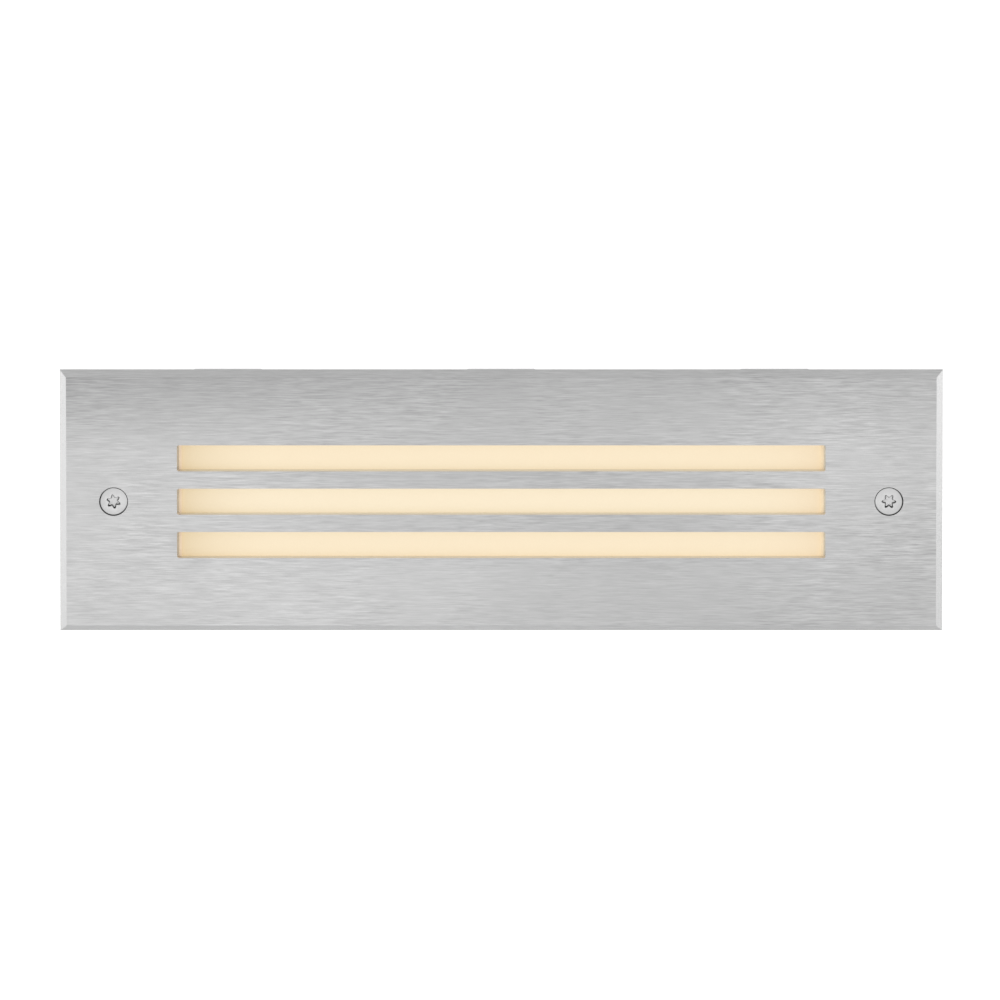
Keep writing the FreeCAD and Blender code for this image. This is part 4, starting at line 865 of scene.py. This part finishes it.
def makeEntryThread():
    look = entryThread
    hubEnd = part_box("housing")[1].x
    lo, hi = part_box("plug_seal")
    bore = (hi.y - lo.y) / 2 * look["boreWidth"] / look["sealWidth"]
    centre = Vector((0, (lo.y + hi.y) / 2, 0))
    outer = hubEnd - look["clear"]
    turns = (look["hubLength"] - 2 * look["clear"] - look["pitch"]) / look["pitch"]
    half = look["pitch"] * look["halfWidth"]
    root, crest = bore + look["sink"], bore - look["height"]
    shape = bmesh.new()
    corners = [shape.verts.new((outer - half + shift * half, centre.y, centre.z + reach))
               for shift, reach in ((-1, root), (0, crest), (1, root))]
    profile = shape.faces.new(corners)
    bmesh.ops.spin(shape, geom=[profile, *profile.edges, *profile.verts], cent=centre, axis=(1, 0, 0),
                   dvec=(-look["pitch"] / look["steps"], 0, 0), angle=2 * math.pi * turns,
                   steps=int(turns * look["steps"]), use_duplicate=False)
    bmesh.ops.holes_fill(shape, edges=shape.edges, sides=4)
    bmesh.ops.recalc_face_normals(shape, faces=shape.faces)
    return keepPiece("entry_thread", shape, "box", "coated_aluminium")


makeEntryThread()
print("conduit entry threaded")

# Leads: the width over the insulation, and the route in metres from the driver or the ring terminal.
leads = {
    "led_lead_positive": dict(width=0.0016, slot="red_lead", route=(
        (-0.0830, 0.0381, 0.00095), (-0.0955, 0.0381, 0.00095), (-0.0955, 0.0204, 0.00095),
        (-0.0900, 0.0204, 0.00095))),
    "led_lead_negative": dict(width=0.0016, slot="black_lead", route=(
        (-0.0830, 0.0381, -0.00095), (-0.0955, 0.0381, -0.00095), (-0.0955, 0.0204, -0.00095),
        (-0.0900, 0.0204, -0.00095))),
    "live_lead": dict(width=0.0020, slot="black_lead", route=(
        (-0.0150, 0.0381, 0.0040), (-0.0033, 0.0381, 0.0040), (0.0083, 0.0420, 0.0100),
        (0.0260, 0.0420, 0.0100))),
    "neutral_lead": dict(width=0.0020, slot="white_lead", route=(
        (-0.0150, 0.0381, -0.0040), (-0.0033, 0.0381, -0.0040), (0.0083, 0.0420, 0.0),
        (0.0260, 0.0420, 0.0))),
    "ground_lead": dict(width=0.0020, slot="green_lead", route=(
        (-0.0022, 0.0479, -0.0195), (0.0052, 0.0479, -0.0195), (0.0126, 0.0420, -0.0100),
        (0.0260, 0.0420, -0.0100))),
}

leadShape = {"stepsAlong": 12, "stepsRound": 4, "smoothAngle": 50.0}


def makeLead(node):
    lead = leads[node]
    curve = bpy.data.curves.new(node + "_line", "CURVE")
    curve.dimensions = "3D"
    spline = curve.splines.new("NURBS")
    spline.points.add(len(lead["route"]) - 1)
    for point, place in zip(spline.points, lead["route"]):
        point.co = (*place, 1)
    spline.order_u = 3
    spline.use_endpoint_u = True
    spline.resolution_u = leadShape["stepsAlong"]
    curve.bevel_depth = lead["width"] / 2
    curve.bevel_resolution = leadShape["stepsRound"]
    curve.use_fill_caps = True
    drawn = bpy.data.objects.new(node + "_line", curve)
    mesh = bpy.data.meshes.new_from_object(drawn)
    bpy.data.objects.remove(drawn)
    shape = bmesh.new()
    shape.from_mesh(mesh)
    bpy.data.meshes.remove(mesh)
    smoothBelow(shape, leadShape["smoothAngle"])
    return keepPiece(node + "_round", shape, "box", lead["slot"], node)


for leadNode in leads:
    makeLead(leadNode)
print("leads made:", len(leads))

studio = {
    "floorLevel": -0.25,
    "floorSize": 24.0,
    "floorColour": (0.96, 0.96, 0.96, 1),
    "floorRough": 0.9,
    "floorLift": (0.3, 0.3, 0.3, 1),  # what the camera sees of the floor, brought up to white
    "skyColour": (1, 1, 1, 1),
    "sky": (1.2, 1.0),  # brightness at the sides and overhead
    "canopy": (0.75, 0.97),  # the overhead card's edge, as the height of the direction to it
}


def makeWorld():
    world = bpy.data.worlds.new("studio")
    scene.world = world
    world.use_nodes = True
    tree = world.node_tree
    height = addNode(tree, "SeparateXYZ", {0: addNode(tree, "TexCoord").outputs["Generated"]}).outputs["Z"]
    sky = rescale(tree, height, *studio["canopy"], *studio["sky"])
    seen = addNode(tree, "LightPath").outputs["Is Camera Ray"]
    pick = addNode(tree, "Mix", {"Factor": seen, "A": sky, "B": 1.0}, data_type="FLOAT")
    background = tree.nodes["Background"]
    background.inputs["Color"].default_value = studio["skyColour"]
    tree.links.new(pick.outputs[0], background.inputs["Strength"])


def makeFloor():
    mesh = bpy.data.meshes.new("floor")
    shape = bmesh.new()
    bmesh.ops.create_grid(shape, x_segments=1, y_segments=1, size=studio["floorSize"] / 2)
    shape.to_mesh(mesh)
    shape.free()
    floor = bpy.data.objects.new("floor", mesh)
    floor.location.z = studio["floorLevel"]
    scene.collection.objects.link(floor)
    material, tree, inputs = newFinish("floor", Roughness=studio["floorRough"],
                                       Base_Color=studio["floorColour"], Emission_Strength=1.0)
    seen = addNode(tree, "LightPath").outputs["Is Camera Ray"]
    tree.links.new(mixColours(tree, seen, black, studio["floorLift"]), inputs["Emission Color"])
    mesh.materials.append(material)


# Soft panels: where each stands, what it faces, its width and height, and its brightness.
panels = {
    "leftPanel": dict(place=(-0.95, 0.30, 0.05), facing=(-0.12, 0.0, 0.0), size=(0.6, 0.55), light=0.93),
    "rightPanel": dict(place=(0.95, 0.40, 0.05), facing=(0.12, 0.0, 0.0), size=(0.6, 0.55), light=0.92),
    "leftGlow": dict(place=(-0.092, -0.40, -0.083), facing=(-0.092, 0.0, -0.012), size=(0.13, 0.05),
                     light=1.90),
    "rightGlow": dict(place=(0.115, -0.40, -0.060), facing=(0.115, 0.0, 0.011), size=(0.09, 0.05),
                      light=1.50),
}


def makePanels():
    for name, panel in panels.items():
        data = bpy.data.lights.new(name, "AREA")
        data.shape = "RECTANGLE"
        data.size, data.size_y = panel["size"]
        data.energy = panel["light"] * math.pi * data.size * data.size_y
        item = bpy.data.objects.new(name, data)
        item.location = panel["place"]
        item.rotation_mode = "QUATERNION"
        item.rotation_quaternion = (Vector(panel["facing"]) - item.location).to_track_quat("-Z", "Y")
        scene.collection.objects.link(item)


makeWorld()
makeFloor()
makePanels()
scene.view_settings.view_transform = "Standard"
print("studio made")
